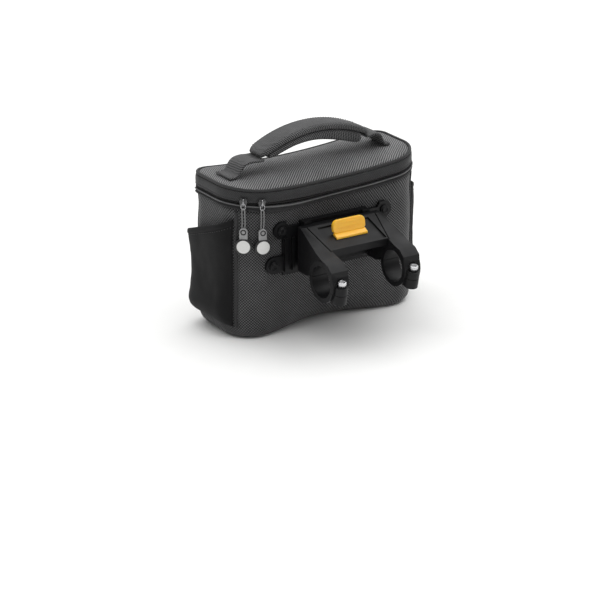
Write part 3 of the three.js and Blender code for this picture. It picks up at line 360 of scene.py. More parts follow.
def finishes(context):
    """All the finishes, made once. A colour is a hex code here or comes from the panel."""
    if FINISH:
        return FINISH
    sizes = context.scene.bag_sizes
    hues = context.scene.bag_colours
    coarse, fine, rib = sizes.weave / MM, sizes.fine_weave / MM, sizes.rib / MM
    dark = hues.thread_dark
    stretch_dark = [c * 0.55 for c in hues.stretch[:3]] + [1.0]
    # Key, name, colour of gaps and crowns, thread width, angle, share of the rows, relief and surface
    cloths = [
        # Thick round threads whose crowns stand in slanting dotted rows; the body's copy has darker crowns,
        # painted shade for its side faces, which take less light than the lid
        ("woven_nylon", "Coarse woven nylon", dark, hues.thread_light, coarse, 45, 0.62, 0.3, MATT),
        ("body_nylon", "Coarse woven nylon, body", dark, hues.shaded_body_light, coarse, 45, 0.5, 0.3, MATT),
        # Fine filament nylon: an even, dull band with hardly any pattern
        ("smooth_nylon", "Fine woven nylon", hues.smooth_dark, hues.smooth_light, fine, 45, 0.5, 0.12, MATT),
        # Knitted elastane: nearly black, dull and even
        ("stretch_fabric", "Stretch knit", stretch_dark, hues.stretch, fine, 0, 0.7, 0.08, FLAT),
        # Nylon webbing: close slanting ribs across the strap
        ("webbing", "Ribbed webbing", dark, hues.strap_light, rib, 62, 0.72, 0.25, MATT),
        # Zip tape, and its folded edge painted pale where it stands proud: a painted highlight
        ("zip_tape", "Zip tape", "#0f0f10", "#4a4a4b", fine, 90, 0.75, 0.12, MATT),
        ("worn_fold", "Worn tape fold", "#3a3a3b", "#8d8d8e", fine, 90, 0.75, 0.1, MATT),
        ("cord", "Braided cord", "#4a4a4b", "#b4b4b4", 0.5, 38, 0.5, 0.1, MATT),
    ]
    # Key, name, two colours, grain, relief, surface and, where it varies, the range of its roughness
    grained = [
        # Polyester coil: hard, smooth and black
        ("zip_coil", "Polyester coil", "#0f0f10", "#1d1d1e", 1.5, 0.02,
         {"Roughness": 0.32, "Coat Weight": 0.2, "Coat Roughness": 0.2}),
        # Black lacquered slider bodies with bright glints, and the wire as pale bare metal: a painted
        # highlight standing in for glints on black lacquered wire
        ("zip_nylon", "Lacquered zinc", "#121213", "#222224", 1.2, 0.02,
         {"Roughness": 0.22, "Coat Weight": 0.6, "Coat Roughness": 0.12}),
        ("slider_wire", "Rubbed zinc", "#8b8b8d", "#b5b5b7", 1.2, 0.02,
         {"Roughness": 0.25, "Metallic": 1.0}, (0.2, 0.35)),
        # Glass-filled nylon, spark-eroded mould: satin with a fine grain
        ("black_plastic", "Moulded nylon", hues.plastic, "#141416", 0.45, 0.035,
         {"Roughness": 0.45, "IOR": 1.53, "Specular IOR Level": 0.2}, (0.34, 0.5)),
        # Thermoplastic rubber: grey neck, black rim
        ("grip_rubber", "Moulded grey rubber", hues.grip, "#868687", 0.8, 0.03,
         {"Roughness": 0.5, "IOR": 1.5}, (0.42, 0.6)),
        ("rim_rubber", "Moulded black rubber", "#19191a", "#252526", 0.8, 0.03,
         {"Roughness": 0.5, "IOR": 1.5}, (0.42, 0.6)),
        # Glass-bead film: pale grey with bright speckles
        ("reflector", "Glass-bead film", hues.disc, "#efefed", 0.55, 0.02,
         {"Roughness": 0.35, "Coat Weight": 0.3, "Coat Roughness": 0.2}),
        # Acetal, moulded yellow: light passes a little way into it
        ("lever_yellow", "Moulded acetal", hues.lever, "#ffc334", 2.0, 0.01,
         {"Roughness": 0.3, "IOR": 1.48, "Subsurface Weight": 0.25, "Subsurface Scale": 0.002,
          "Subsurface Radius": (1.0, 0.45, 0.1), "Coat Weight": 0.25, "Coat Roughness": 0.15}),
        # Zinc-plated steel: bright, faintly blotched
        ("bolt_steel", "Zinc-plated steel", "#b9b9bb", "#d8d8da", 1.6, 0.02,
         {"Roughness": 0.26, "Metallic": 1.0}, (0.2, 0.38)),
        # Bonded polyester thread, a little lighter than the cloth
        ("thread", "Sewing thread", "#2a2a2b", "#3b3b3c", 0.4, 0.02, {"Roughness": 0.6}),
    ]
    for maker, rows in ((cloth, cloths), (speckled, grained)):
        for key, name, first, second, *rest in rows:
            shades = [linear(shade) if isinstance(shade, str) else shade for shade in (first, second)]
            FINISH[key] = maker(name, *shades, *rest)
    return FINISH


# Mesh helpers; every place is in millimetres until the mesh is made

def lerp(a, b, t):
    return a + (b - a) * t


def smooth(low, high, value):
    t = min(1.0, max(0.0, (value - low) / (high - low)))
    return t * t * (3 - 2 * t)


def along(table, key, at):
    """Smooth value of a short table at a place, through its rows."""
    last = len(table) - 1
    place = min(max(at, table[0]["at"]), table[last]["at"])
    i = max(k for k in range(last) if table[k]["at"] <= place)
    rows = [table[min(max(k, 0), last)] for k in (i - 1, i, i + 1, i + 2)]
    step = rows[2]["at"] - rows[1]["at"]
    t = (place - rows[1]["at"]) / step
    slopes = []
    for before, after in ((rows[0], rows[2]), (rows[1], rows[3])):
        slopes.append((after[key] - before[key]) / (after["at"] - before["at"]) * step)
    a, b = rows[1][key], rows[2][key]
    return (
        a * (2 * t ** 3 - 3 * t * t + 1) + slopes[0] * (t ** 3 - 2 * t * t + t)
        + b * (3 * t * t - 2 * t ** 3) + slopes[1] * (t ** 3 - t * t)
    )


def travelled(points, closed=False):
    """Distance from the first point to each point, and back to the first where the path closes."""
    steps = [0.0]
    path = points + points[:1] if closed else points
    for a, b in zip(path, path[1:]):
        steps.append(steps[-1] + (b - a).length)
    return steps


def surface(name, rows, finish, ring=False, loop=False, caps=(False, False), plan_uv=False):
    """Mesh through rows of points. ring closes each row, loop joins the last row to the first."""
    count = len(rows[0])
    points = [p for row in rows for p in row]
    columns = travelled(rows[len(rows) // 2], ring)
    climbs = travelled([row[0] for row in rows], loop)
    faces, uvs = [], []
    for r in range(len(rows) if loop else len(rows) - 1):
        for c in range(count if ring else count - 1):
            corners = [(r, c), (r, c + 1), (r + 1, c + 1), (r + 1, c)]
            faces.append([(i % len(rows)) * count + j % count for i, j in corners])
            uvs.append([(columns[j], climbs[i]) for i, j in corners])
    for wanted, row, backwards in ((caps[0], 0, True), (caps[1], len(rows) - 1, False)):
        if not wanted:
            continue
        centre = sum(rows[row], Vector()) / count
        points.append(centre)
        for c in range(count):
            pair = [row * count + c, row * count + (c + 1) % count]
            faces.append([len(points) - 1] + (pair[::-1] if backwards else pair))
            uvs.append([(points[k].x, points[k].y) for k in faces[-1]])
    if plan_uv:
        uvs = [[(points[k].x, points[k].y) for k in face] for face in faces]
    return mesh_object(name, points, faces, uvs, finish)


def solid(name, rings, finish):
    """Closed bar or block through rings of points."""
    return surface(name, rings, finish, ring=True, caps=(True, True))


def mesh_object(name, points, faces, uvs, finish):
    mesh = bpy.data.meshes.new(name)
    mesh.from_pydata([p * MM for p in points], [], faces)
    layer = mesh.uv_layers.new(name="weave")
    layer.uv.foreach_set("vector", [value for face in uvs for uv in face for value in uv])
    mesh.materials.append(finish)
    mesh.shade_smooth()
    return linked(name, mesh)


def thicken(piece, thickness):
    """Gives an open sheet its wall, inwards."""
    wall = piece.modifiers.new("Wall", "SOLIDIFY")
    wall.thickness = thickness * MM
    wall.offset = -1
    wall.use_even_offset = True
    return piece


def carried(piece, body, slot, *nodes):
    """Every piece rides on a body and stands for the nodes given, which are hidden; the slot is not used."""
    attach(piece, body)
    if nodes:
        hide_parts(*nodes)
    return piece


def moulded_copy(node, name, finish, rounding, segments=2):
    """Copy of a frame node with its loose triangles joined and its edges rounded."""
    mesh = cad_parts[node].data.copy()
    mesh.name = name
    work = bmesh.new()
    work.from_mesh(mesh)
    bmesh.ops.remove_doubles(work, verts=work.verts, dist=0.00002)
    bmesh.ops.dissolve_limit(work, angle_limit=math.radians(1.5), verts=work.verts, edges=work.edges)
    work.to_mesh(mesh)
    work.free()
    marks = ("custom_normal", "sharp_edge", "sharp_face")
    for attribute in [a for a in mesh.attributes if a.name in marks]:
        mesh.attributes.remove(attribute)
    mesh.materials.clear()
    mesh.materials.append(finish)
    mesh.shade_smooth()
    made = linked(name, mesh)
    edge = made.modifiers.new("Moulded edge", "BEVEL")
    edge.width = rounding
    edge.segments = segments
    edge.limit_method = "ANGLE"
    edge.angle_limit = math.radians(32)
    edge.harden_normals = True
    edge.miter_outer = "MITER_ARC"
    return made


# Geometry Nodes: one small piece repeated along paths, or set at points

def repeat_tree(follow):
    """Tree that sets a piece along paths at a spacing, or at the points themselves."""
    title = "Repeat along a path" if follow else "Set at points"
    tree = bpy.data.node_groups.get(title)
    if tree:
        return tree
    tree = bpy.data.node_groups.new(title, "GeometryNodeTree")
    face = tree.interface
    face.new_socket("Geometry", in_out="INPUT", socket_type="NodeSocketGeometry")
    face.new_socket("Spacing", in_out="INPUT", socket_type="NodeSocketFloat")
    face.new_socket("Piece", in_out="INPUT", socket_type="NodeSocketObject")
    face.new_socket("Finish", in_out="INPUT", socket_type="NodeSocketMaterial")
    face.new_socket("Geometry", in_out="OUTPUT", socket_type="NodeSocketGeometry")
    given = add_node(tree, "NodeGroupInput").outputs
    outward = add_node(tree, "GeometryNodeInputNamedAttribute", {0: "outward"}, data_type="FLOAT_VECTOR")
    if follow:
        path = add_node(tree, "GeometryNodeMeshToCurve", {0: given["Geometry"]})
        spaced = add_node(tree, "GeometryNodeResampleCurve", {
            "Curve": path.outputs[0], "Length": given["Spacing"],
        }, mode="LENGTH")
        places = spaced.outputs[0]
        forward = add_node(tree, "GeometryNodeInputTangent").outputs[0]
    else:
        places = given["Geometry"]
        ahead = add_node(tree, "GeometryNodeInputNamedAttribute", {0: "forward"}, data_type="FLOAT_VECTOR")
        forward = ahead.outputs[0]
    turn = add_node(tree, "FunctionNodeAxesToRotation", {
        0: outward.outputs[0], 1: forward,
    }, primary_axis="Z", secondary_axis="X")
    piece = add_node(tree, "GeometryNodeObjectInfo", {"Object": given["Piece"]}, transform_space="ORIGINAL")
    copies = add_node(tree, "GeometryNodeInstanceOnPoints", {
        "Points": places, "Instance": piece.outputs["Geometry"], "Rotation": turn.outputs[0],
    })
    real = add_node(tree, "GeometryNodeRealizeInstances", {0: copies.outputs[0]})
    painted = add_node(tree, "GeometryNodeSetMaterial", {
        "Geometry": real.outputs[0], "Material": given["Finish"],
    })
    add_node(tree, "NodeGroupOutput", {0: painted.outputs[0]})
    return tree


def repeated(name, paths, piece, finish, spacing=None):
    """Plain mesh of a piece repeated. A path is a list of (point, outward) or (point, outward, forward)."""
    points, edges, outward, forward = [], [], [], []
    for path in paths:
        first = len(points)
        for stop in path:
            points.append(stop[0] * MM)
            outward.extend(stop[1].normalized())
            forward.extend(stop[2].normalized() if len(stop) > 2 else (1, 0, 0))
        if spacing:
            edges += [(i, i + 1) for i in range(first, len(points) - 1)]
    mesh = bpy.data.meshes.new(name)
    mesh.from_pydata(points, edges, [])
    mesh.attributes.new("outward", "FLOAT_VECTOR", "POINT").data.foreach_set("vector", outward)
    mesh.attributes.new("forward", "FLOAT_VECTOR", "POINT").data.foreach_set("vector", forward)
    made = linked(name, mesh)
    tree = repeat_tree(spacing is not None)
    modifier = made.modifiers.new("Repeat", "NODES")
    modifier.node_group = tree
    keys = {item.name: item.identifier for item in tree.interface.items_tree if item.in_out == "INPUT"}
    modifier[keys["Spacing"]] = (spacing or 1.0) * MM
    modifier[keys["Piece"]] = piece
    modifier[keys["Finish"]] = finish
    shown = made.evaluated_get(bpy.context.evaluated_depsgraph_get())
    plain = bpy.data.meshes.new_from_object(shown)
    made.modifiers.remove(modifier)
    made.data = plain
    plain.shade_smooth()
    bpy.data.objects.remove(piece)
    return made


def bead(name, size, segments=8, rings=6):
    """Rounded capsule of a size along, across and out, to be repeated."""
    mesh = bpy.data.meshes.new(name)
    work = bmesh.new()
    bmesh.ops.create_uvsphere(work, u_segments=segments, v_segments=rings, radius=0.5 * MM)
    for vertex in work.verts:
        for axis in range(3):
            share = vertex.co[axis] / (0.5 * MM)
            power = abs(share) ** (0.6 if axis == 0 else 1.0)
            vertex.co[axis] = math.copysign(power, share) * 0.5 * size[axis] * MM
    work.to_mesh(mesh)
    work.free()
    return linked(name, mesh)


# Shape of the soft bag

def plan_point(position, half_length, rear, front, rear_radius, front_radius):
    """Point and outward direction at a place round the rounded plan."""
    place = position % PLAN_COUNT
    rear_x = half_length - rear_radius
    front_x = half_length - front_radius
    rear_y = rear + rear_radius
    front_y = front - front_radius
    parts = [
        ((-rear_x, rear), (rear_x, rear), 270), ((rear_x, rear_y), rear_radius, 270),
        ((half_length, rear_y), (half_length, front_y), 0), ((front_x, front_y), front_radius, 0),
        ((front_x, front), (-front_x, front), 90), ((-front_x, front_y), front_radius, 90),
        ((-half_length, front_y), (-half_length, rear_y), 180), ((-rear_x, rear_y), rear_radius, 180),
    ]
    for steps, (first, second, angle) in zip(PLAN_STEPS, parts):
        if place <= steps:
            break
        place -= steps
    t = place / steps
    if isinstance(second, tuple):
        turn = math.radians(angle)
        x, y = lerp(first[0], second[0], t), lerp(first[1], second[1], t)
        return x, y, math.cos(turn), math.sin(turn)
    turn = math.radians(angle + 90 * t)
    nx, ny = math.cos(turn), math.sin(turn)
    return first[0] + second * nx, first[1] + second * ny, nx, ny


# How the soft lid settles: the heights where it starts and is complete, how far its right end rises, how far
# the zip and the lid hang at the near left corner, and how far the rear edge rises in the middle
SETTLE_HEIGHTS = (108, 140)
RIGHT_RISE = 2.1
NEAR_LEFT = {"x": -58, "y": -46, "reach_x": 38, "reach_y": 34, "zip": 4.2, "lid": 0.6}
REAR_MIDDLE = {"x": 6, "y": -46, "reach_x": 45, "reach_y": 30, "rise": 0.6}
ZIP_LINE = (131, 139)


def mound(point, row):
    """Share of a soft mound at a point: 1 in its middle, falling away over its reach."""
    across = (point.x - row["x"]) / row["reach_x"]
    deep = (point.y - row["y"]) / row["reach_y"]
    return math.exp(-across * across - deep * deep)


def settle(point):
    """The lid of the soft bag hangs a little unevenly: right end up, near left corner down."""
    weight = smooth(*SETTLE_HEIGHTS, point.z)
    hang = lerp(NEAR_LEFT["zip"], NEAR_LEFT["lid"], smooth(*ZIP_LINE, point.z))
    lift = RIGHT_RISE * point.x / LID_HALF_LENGTH
    lift += REAR_MIDDLE["rise"] * mound(point, REAR_MIDDLE) - hang * mound(point, NEAR_LEFT)
    return point + Vector((0, 0, weight * lift))


def end_lift(x):
    return LID_END_LIFT * (x / LID_HALF_LENGTH) ** 2


def lid_plan(position):
    """Point and outward direction at a place round the lid's plan."""
    ends = (-LID_HALF_DEPTH, LID_HALF_DEPTH)
    return plan_point(position, LID_HALF_LENGTH, *ends, LID_REAR_RADIUS, LID_FRONT_RADIUS)


def lid_point(position, outward, drop):
    x, y, nx, ny = lid_plan(position)
    return settle(Vector((x + nx * outward, y + ny * outward, SEAM_HEIGHT + end_lift(x) - drop)))


def round_in(height, reach, rise):
    if height >= rise:
        return 0.0
    return reach * (1 - math.sqrt(max(0.0, 1 - (1 - height / rise) ** 2)))


def wander(point, size, seed):
    """Smooth value between about -1 and 1 that changes over a distance."""
    return noise.noise(point / size + Vector((seed * 7.3, seed * 3.1, seed * 5.7)))


# Swells of the body's cloth: how far it stands out and over what distance it changes
SWELLS = [(0.75, 38), (0.4, 16)]
# Tension creases of the rear cloth: from and to in x and z, depth and half width
CREASES = table(
    "x0 z0 x1 z1 depth width",
    (-86, 126, -58, 96, 0.9, 4.5), (-70, 128, -34, 118, 0.8, 4.0), (-88, 62, -64, 34, 1.0, 5.0),
    (-40, 52, 8, 40, 0.9, 5.5), (84, 124, 66, 92, 0.8, 4.0), (40, 50, 86, 38, 0.9, 5.0),
    (70, 62, 90, 92, 0.7, 4.5),
)


def crease(x, z):
    total = 0.0
    for row in CREASES:
        start = Vector((row["x0"], row["z0"]))
        reach = Vector((row["x1"], row["z1"])) - start
        here = Vector((x, z)) - start
        t = min(1.0, max(0.0, here.dot(reach) / reach.length_squared))
        away = (here - reach * t).length / row["width"]
        total -= row["depth"] * math.exp(-away * away) * math.sin(math.pi * (0.15 + 0.7 * t))
    return total


def body_fold(point, normal):
    """How far the cloth of the body stands out or in at a point."""
    side = abs(normal.x)
    broad, narrow = SWELLS
    swell = broad[0] * wander(point, broad[1], 1) + narrow[0] * wander(point, narrow[1], 2)
    low = smooth(45, 12, point.z) * 0.9 * wander(Vector((point.x, point.y, point.z * 0.5)), 20, 3)
    fold = swell + low
    if normal.y < -0.5:
        fold += crease(point.x, point.z)
        plate = smooth(92, 74, abs(point.x)) * smooth(50, 60, point.z) * smooth(128, 117, point.z)
        fold = lerp(fold, min(fold, 0.0) * 0.5 - 0.1, plate)
    pocket = smooth(0.55, 0.8, side) * smooth(133, 126, point.z)
    rim = smooth(118, 128, point.z)
    return lerp(fold, min(fold, 0.0) * 0.25, max(pocket, rim))


def body_point(position, height, outward=0.0, folds=True):
    share = height / BODY_RIM
    half = BODY_HALF_LENGTH * along(BODY_LEVELS, "length", share) - round_in(height, END_ROUND, END_ROUND)
    depth = BODY_HALF_DEPTH * along(BODY_LEVELS, "depth", share)
    front = depth - round_in(height, FRONT_ROUND, FRONT_ROUND)
    rear = -depth + round_in(height, REAR_ROUND_AT_ENDS, REAR_ROUND_AT_ENDS)
    room = (front - rear) * 0.45
    x, y, nx, ny = plan_point(
        position, half, rear, front, min(BODY_REAR_RADIUS, room), min(BODY_FRONT_RADIUS, room))
    middle = math.cos(math.pi / 2 * min(1.0, abs(x) / (0.85 * half))) ** 2
    reach = lerp(REAR_ROUND_AT_ENDS, REAR_ROUND_DEPTH, middle)
    rise = lerp(REAR_ROUND_AT_ENDS, REAR_ROUND_HEIGHT, middle)
    extra = round_in(height, reach, rise) - round_in(height, REAR_ROUND_AT_ENDS, REAR_ROUND_AT_ENDS)
    if y < 0:
        y *= 1 - max(0.0, extra) / abs(rear)
    point = Vector((x, y, height + end_lift(x) * share ** 2))
    normal = Vector((nx, ny, 0))
    stand = outward
    if folds:
        stand += body_fold(point, normal) * smooth(0, 14, height)
    return settle(point + normal * stand)


def steps_between(first, last, per_place=RINGS_PER_PLACE):
    count = max(1, round((last - first) * per_place))
    return [lerp(first, last, i / count) for i in range(count + 1)]


def plan_places():
    return [i / RINGS_PER_PLACE for i in range(PLAN_COUNT * RINGS_PER_PLACE)]


def band(section, start=None, end=None):
    """Rings of a band round the lid; its section is a list of (outward, drop)."""
    places = plan_places() if start is None else steps_between(start, end)
    return [[lid_point(p, out, drop) for out, drop in section] for p in places]


def full_turn(sides, closed=False):
    """Angles once round, with the first one again at the end where it is closed."""
    return [math.tau * i / sides for i in range(sides + closed)]


def circle(outward, drop, radius, sides=12):
    return [(outward + radius * math.cos(a), drop + radius * math.sin(a)) for a in full_turn(sides)]


def seam_path(places, maker, outward):
    """Path with outward directions, for stitches on a surface given by a maker of points."""
    path = []
    for place in places:
        point = maker(place, outward)
        path.append((point, maker(place, outward + 1) - point))
    return path


def stitches(name, paths, context, slot="smooth_nylon"):
    spacing = context.scene.bag_sizes.stitch / MM
    made = repeated(name, paths, bead("stitch", STITCH, 6, 4), finishes(context)["thread"], spacing)
    return carried(made, "bag", slot)


# Operators, one for each piece or group of like pieces

class BAG_OT_stage(bpy.types.Operator):
    """Makes the camera, the plain floor and the soft studio lights"""
    bl_idname = "bag.stage"
    bl_label = "Stage"

    def execute(self, context):
        azimuth, elevation = math.radians(VIEW_AZIMUTH), math.radians(VIEW_ELEVATION)
        back = Vector((
            math.sin(azimuth) * math.cos(elevation),
            -math.cos(azimuth) * math.cos(elevation),
            math.sin(elevation),
        ))
        right = Vector((math.cos(azimuth), math.sin(azimuth), 0))
        up = back.cross(right)
        focal = PIXELS_PER_MM * VIEW_DISTANCE
        across = TARGET_PIXEL[0] - IMAGE_SIZE / 2
        down = TARGET_PIXEL[1] - IMAGE_SIZE / 2
        ahead = -back - right * (across / focal) + up * (down / focal)
        view = bpy.data.cameras.new("View")
        camera = linked("View", view)
        camera.location = (Vector((0, 0, SEAM_HEIGHT)) + back * VIEW_DISTANCE) * MM
        camera.rotation_euler = ahead.to_track_quat("-Z", "Y").to_euler()
        view.lens = focal / IMAGE_SIZE * SENSOR
        view.sensor_width = SENSOR
        view.clip_end = 100
        context.scene.camera = camera
        self.lights(context)
        self.floor(context)
        return {"FINISHED"}

    def lights(self, context):
        for name, height, heading, softness, strength in LAMPS:
            light = bpy.data.lights.new(name, "SUN")
            light.energy = strength
            light.angle = math.radians(softness)
            lamp = linked(name, light)
            lamp.rotation_euler = Euler((math.radians(90 - height), 0, math.radians(heading)))
        world = bpy.data.worlds.new("Studio")
        world.use_nodes = True
        background = world.node_tree.nodes["Background"]
        background.inputs["Color"].default_value = (1, 1, 1, 1)
        background.inputs["Strength"].default_value = SKY
        context.scene.world = world
        context.scene.view_settings.view_transform = "Standard"

    def floor(self, context):
        mesh = bpy.data.meshes.new("Floor")
        half = FLOOR_HALF
        corners = [(-half, -half, 0), (half, -half, 0), (half, half, 0), (-half, half, 0)]
        mesh.from_pydata(corners, [], [(0, 1, 2, 3)])
        pale = speckled("Pale floor", linear("#f6f6f5"), linear("#fafaf9"), 40, 0.01, {"Roughness": 0.9})
        mesh.materials.append(pale)
        ground = linked("Floor", mesh)
        ground.location.z = -FLOOR_DROP


class BAG_OT_body(bpy.types.Operator):
    """Makes the folded cloth shell and its corner seams"""
    bl_idname = "bag.body"
    bl_label = "Body"

    def execute(self, context):
        heights = [0, 0.8, 2, 3.5, 5.5, 8, 11, 14, 17.5, 21, 25, 29, 33, 37, 41]
        heights += [lerp(45, BODY_RIM, i / 24) for i in range(25)]
        places = plan_places()
        base = [body_point(p, 0) for p in places]
        centre = Vector((0, 10, 0))
        shrink = [0.25, 0.55, 0.8]
        rows = [[centre.lerp(p, s) for p in base] for s in shrink]
        rows += [[body_point(p, h) for p in places] for h in heights]
        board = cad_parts.get("base_board")
        if board:
            board.material_slots[0].material = finishes(context)["black_plastic"]
        # The body's cloth is the lid's cloth with darker crowns: painted shade for its side faces
        cloth_look = finishes(context)["body_nylon"]
        shell = surface("bag_shell", rows, cloth_look, ring=True, caps=(True, False))
        thicken(shell, CLOTH)
        carried(shell, "bag", "woven_nylon", "bag_body")
        self.corner_seams(context)
        return {"FINISHED"}

    def corner_seams(self, context):
        names = {
            "rear_left": REAR_LEFT_SEAM, "rear_right": REAR_RIGHT_SEAM,
            "front_left": FRONT_LEFT_SEAM, "front_right": FRONT_RIGHT_SEAM,
        }
        look = finishes(context)["smooth_nylon"]
        heights = [lerp(*WELT_SPAN, i / 40) * BODY_RIM for i in range(41)]
        turns = full_turn(10)
        thick, wide = WELT_SIZE
        paths = []
        for name, place in names.items():
            rings = []
            for height in heights:
                middle = body_point(place, height, WELT_OUT)
                out = (body_point(place, height, WELT_OUT + 1) - middle).normalized()
                side = Vector((-out.y, out.x, 0))
                rings.append([middle + out * thick * math.cos(a) + side * wide * math.sin(a) for a in turns])
            welt = solid(f"welt_{name}", rings, look)
            carried(welt, "bag", "smooth_nylon", f"corner_seam_{name}")
            edge = place + (WELT_STITCH if name in ("rear_left", "front_right") else -WELT_STITCH)
            paths.append(seam_path(heights, lambda height, out: body_point(edge, height, out), 0.1))
        stitches("welt_stitches", paths, context)


class BAG_OT_lid(bpy.types.Operator):
    """Makes the crowned lid, its piping, skirt and cloth hinge"""
    bl_idname = "bag.lid"
    bl_label = "Lid"

    def execute(self, context):
        looks = finishes(context)
        crown = context.scene.bag_sizes.lid_crown / MM
        places = plan_places()

        def ring(share, drop=0.0):
            row = []
            for place in places:
                x, y, nx, ny = lid_plan(place)
                x, y = (x - nx * PANEL_INSET) * share, (y - ny * PANEL_INSET) * share
                swell = crown * (1 - share ** LID_CROWN_POWER)
                wave = LID_WAVE * wander(Vector((x, y, 0)), 30, 5) * (1 - share ** 4)
                height = SEAM_HEIGHT + end_lift(x) + LID_FACE + swell + wave - drop
                row.append(settle(Vector((x, y, height))))
            return row

        shares = [0.985, 0.96, 0.92, 0.87, 0.81, 0.74, 0.66, 0.57, 0.48, 0.38, 0.28, 0.18, 0.08]
        rows = [ring(1.0, 2.6), ring(1.0, 1.0), ring(0.995, 0.25)] + [ring(s) for s in shares]
        look = looks["woven_nylon"]
        panel = surface("lid_top", rows, look, ring=True, caps=(False, True), plan_uv=True)
        thicken(panel, LID_CLOTH)
        carried(panel, "bag", "woven_nylon", "lid_panel")

        piping = surface("lid_roll", band(circle(-PIPING_RADIUS, 0, PIPING_RADIUS)), looks["smooth_nylon"],
                         ring=True, loop=True)
        carried(piping, "bag", "smooth_nylon", "lid_piping")

        section = [
            (-0.3, SKIRT_TOP - 0.1), (0.15, SKIRT_TOP + 0.5), (0.45, 4.2), (0.6, 6.6), (0.5, 8.8),
            (0.2, 9.9), (0.55, 10.5), (0.6, 11.2), (0.2, SKIRT_BOTTOM), (-1.4, SKIRT_BOTTOM),
            (-1.9, 10.8), (-1.9, SKIRT_TOP + 0.6), (-1.5, SKIRT_TOP - 0.1),
        ]
        skirt = surface("lid_band", band(section), looks["smooth_nylon"], ring=True, loop=True)
        carried(skirt, "bag", "smooth_nylon", "lid_skirt")

        section = [(0, SKIRT_BOTTOM + GAP), (0.3, 14), (0.3, 17.5), (0, TAPE_BOTTOM),
                   (-2.5, TAPE_BOTTOM), (-2.5, SKIRT_BOTTOM + GAP)]
        rings = band(section, HINGE_START, HINGE_END)
        hinge = solid("lid_flap", rings, looks["smooth_nylon"])
        carried(hinge, "bag", "smooth_nylon", "lid_hinge")

        hinge_places = steps_between(HINGE_START, HINGE_END)
        paths = []
        for row, line in ((places + [PLAN_COUNT], SKIRT_STITCH), (hinge_places, HINGE_STITCH)):
            paths.append(seam_path(row, lambda place, out: lid_point(place, out, line["drop"]), line["out"]))
        stitches("lid_stitches", paths, context)
        return {"FINISHED"}


class BAG_OT_zip(bpy.types.Operator):
    """Makes the coil zip and the two raised folds of its lower tape"""
    bl_idname = "bag.zip"
    bl_label = "Zip"

    def execute(self, context):
        looks = finishes(context)
        section = [
            (0.5, TAPE_TOP), (1.25, 15.15), (1.35, 15.75), (0.85, 16.3), (0.1, 16.7), (0.1, 17.5),
            (0.8, 17.95), (1.3, 18.5), (1.15, 19.2), (0.5, TAPE_BOTTOM),
            (-2.6, TAPE_BOTTOM), (-2.6, TAPE_TOP),
        ]
        rings = band(section, ZIP_START, ZIP_END)
        tape = solid("zip_fold", rings, looks["zip_tape"])
        carried(tape, "bag", "zip_nylon", "zip_tape")

        # Thin pale roll on the tape's upper fold: a painted highlight
        rings = band(circle(1.15, 15.3, 0.5, 8), ZIP_START, ZIP_END)
        fold = solid("zip_fold_edge", rings, looks["worn_fold"])
        carried(fold, "bag", "zip_nylon")

        section = [(-1.9, 12.1), (-1.9, 14.5), (-2.6, 14.5), (-2.6, 12.1)]
        rings = band(section, ZIP_START, ZIP_END)
        backing = solid("zip_backing", rings, looks["zip_tape"])
        carried(backing, "bag", "zip_nylon", "zip_coil")

        path = []
        for place in steps_between(ZIP_START, ZIP_END, 6):
            point = lid_point(place, -1.25, COIL_DROP)
            path.append((point, lid_point(place, -0.25, COIL_DROP) - point))
        spacing = context.scene.bag_sizes.coil_pitch / MM
        tooth = bead("tooth", (0.85, 2.5, 1.3), 8, 6)
        coil = repeated("zip_teeth", [path], tooth, looks["zip_coil"], spacing)
        carried(coil, "bag", "zip_nylon", "zip_coil")
        return {"FINISHED"}


POCKET_ALONG = table(
    "at out",
    (0.0, 0.0), (0.14, 0.4), (0.3, 0.62), (0.5, 0.85), (0.75, 1.0), (0.9, 0.8), (1.0, 0.0),
)
POCKET_UP = table(
    "at out",
    (0.0, 0.0), (0.06, 0.62), (0.16, 1.0), (0.34, 0.86), (0.55, 0.7), (0.8, 0.8), (1.0, 1.0),
)
POCKET_STANDOFF = 10.6
POCKET_WALL = 1.4
POCKET_SEAM = 0.45
POCKET_BOTTOM = 13.0
POCKET_TOP = (117.0, 89.5)


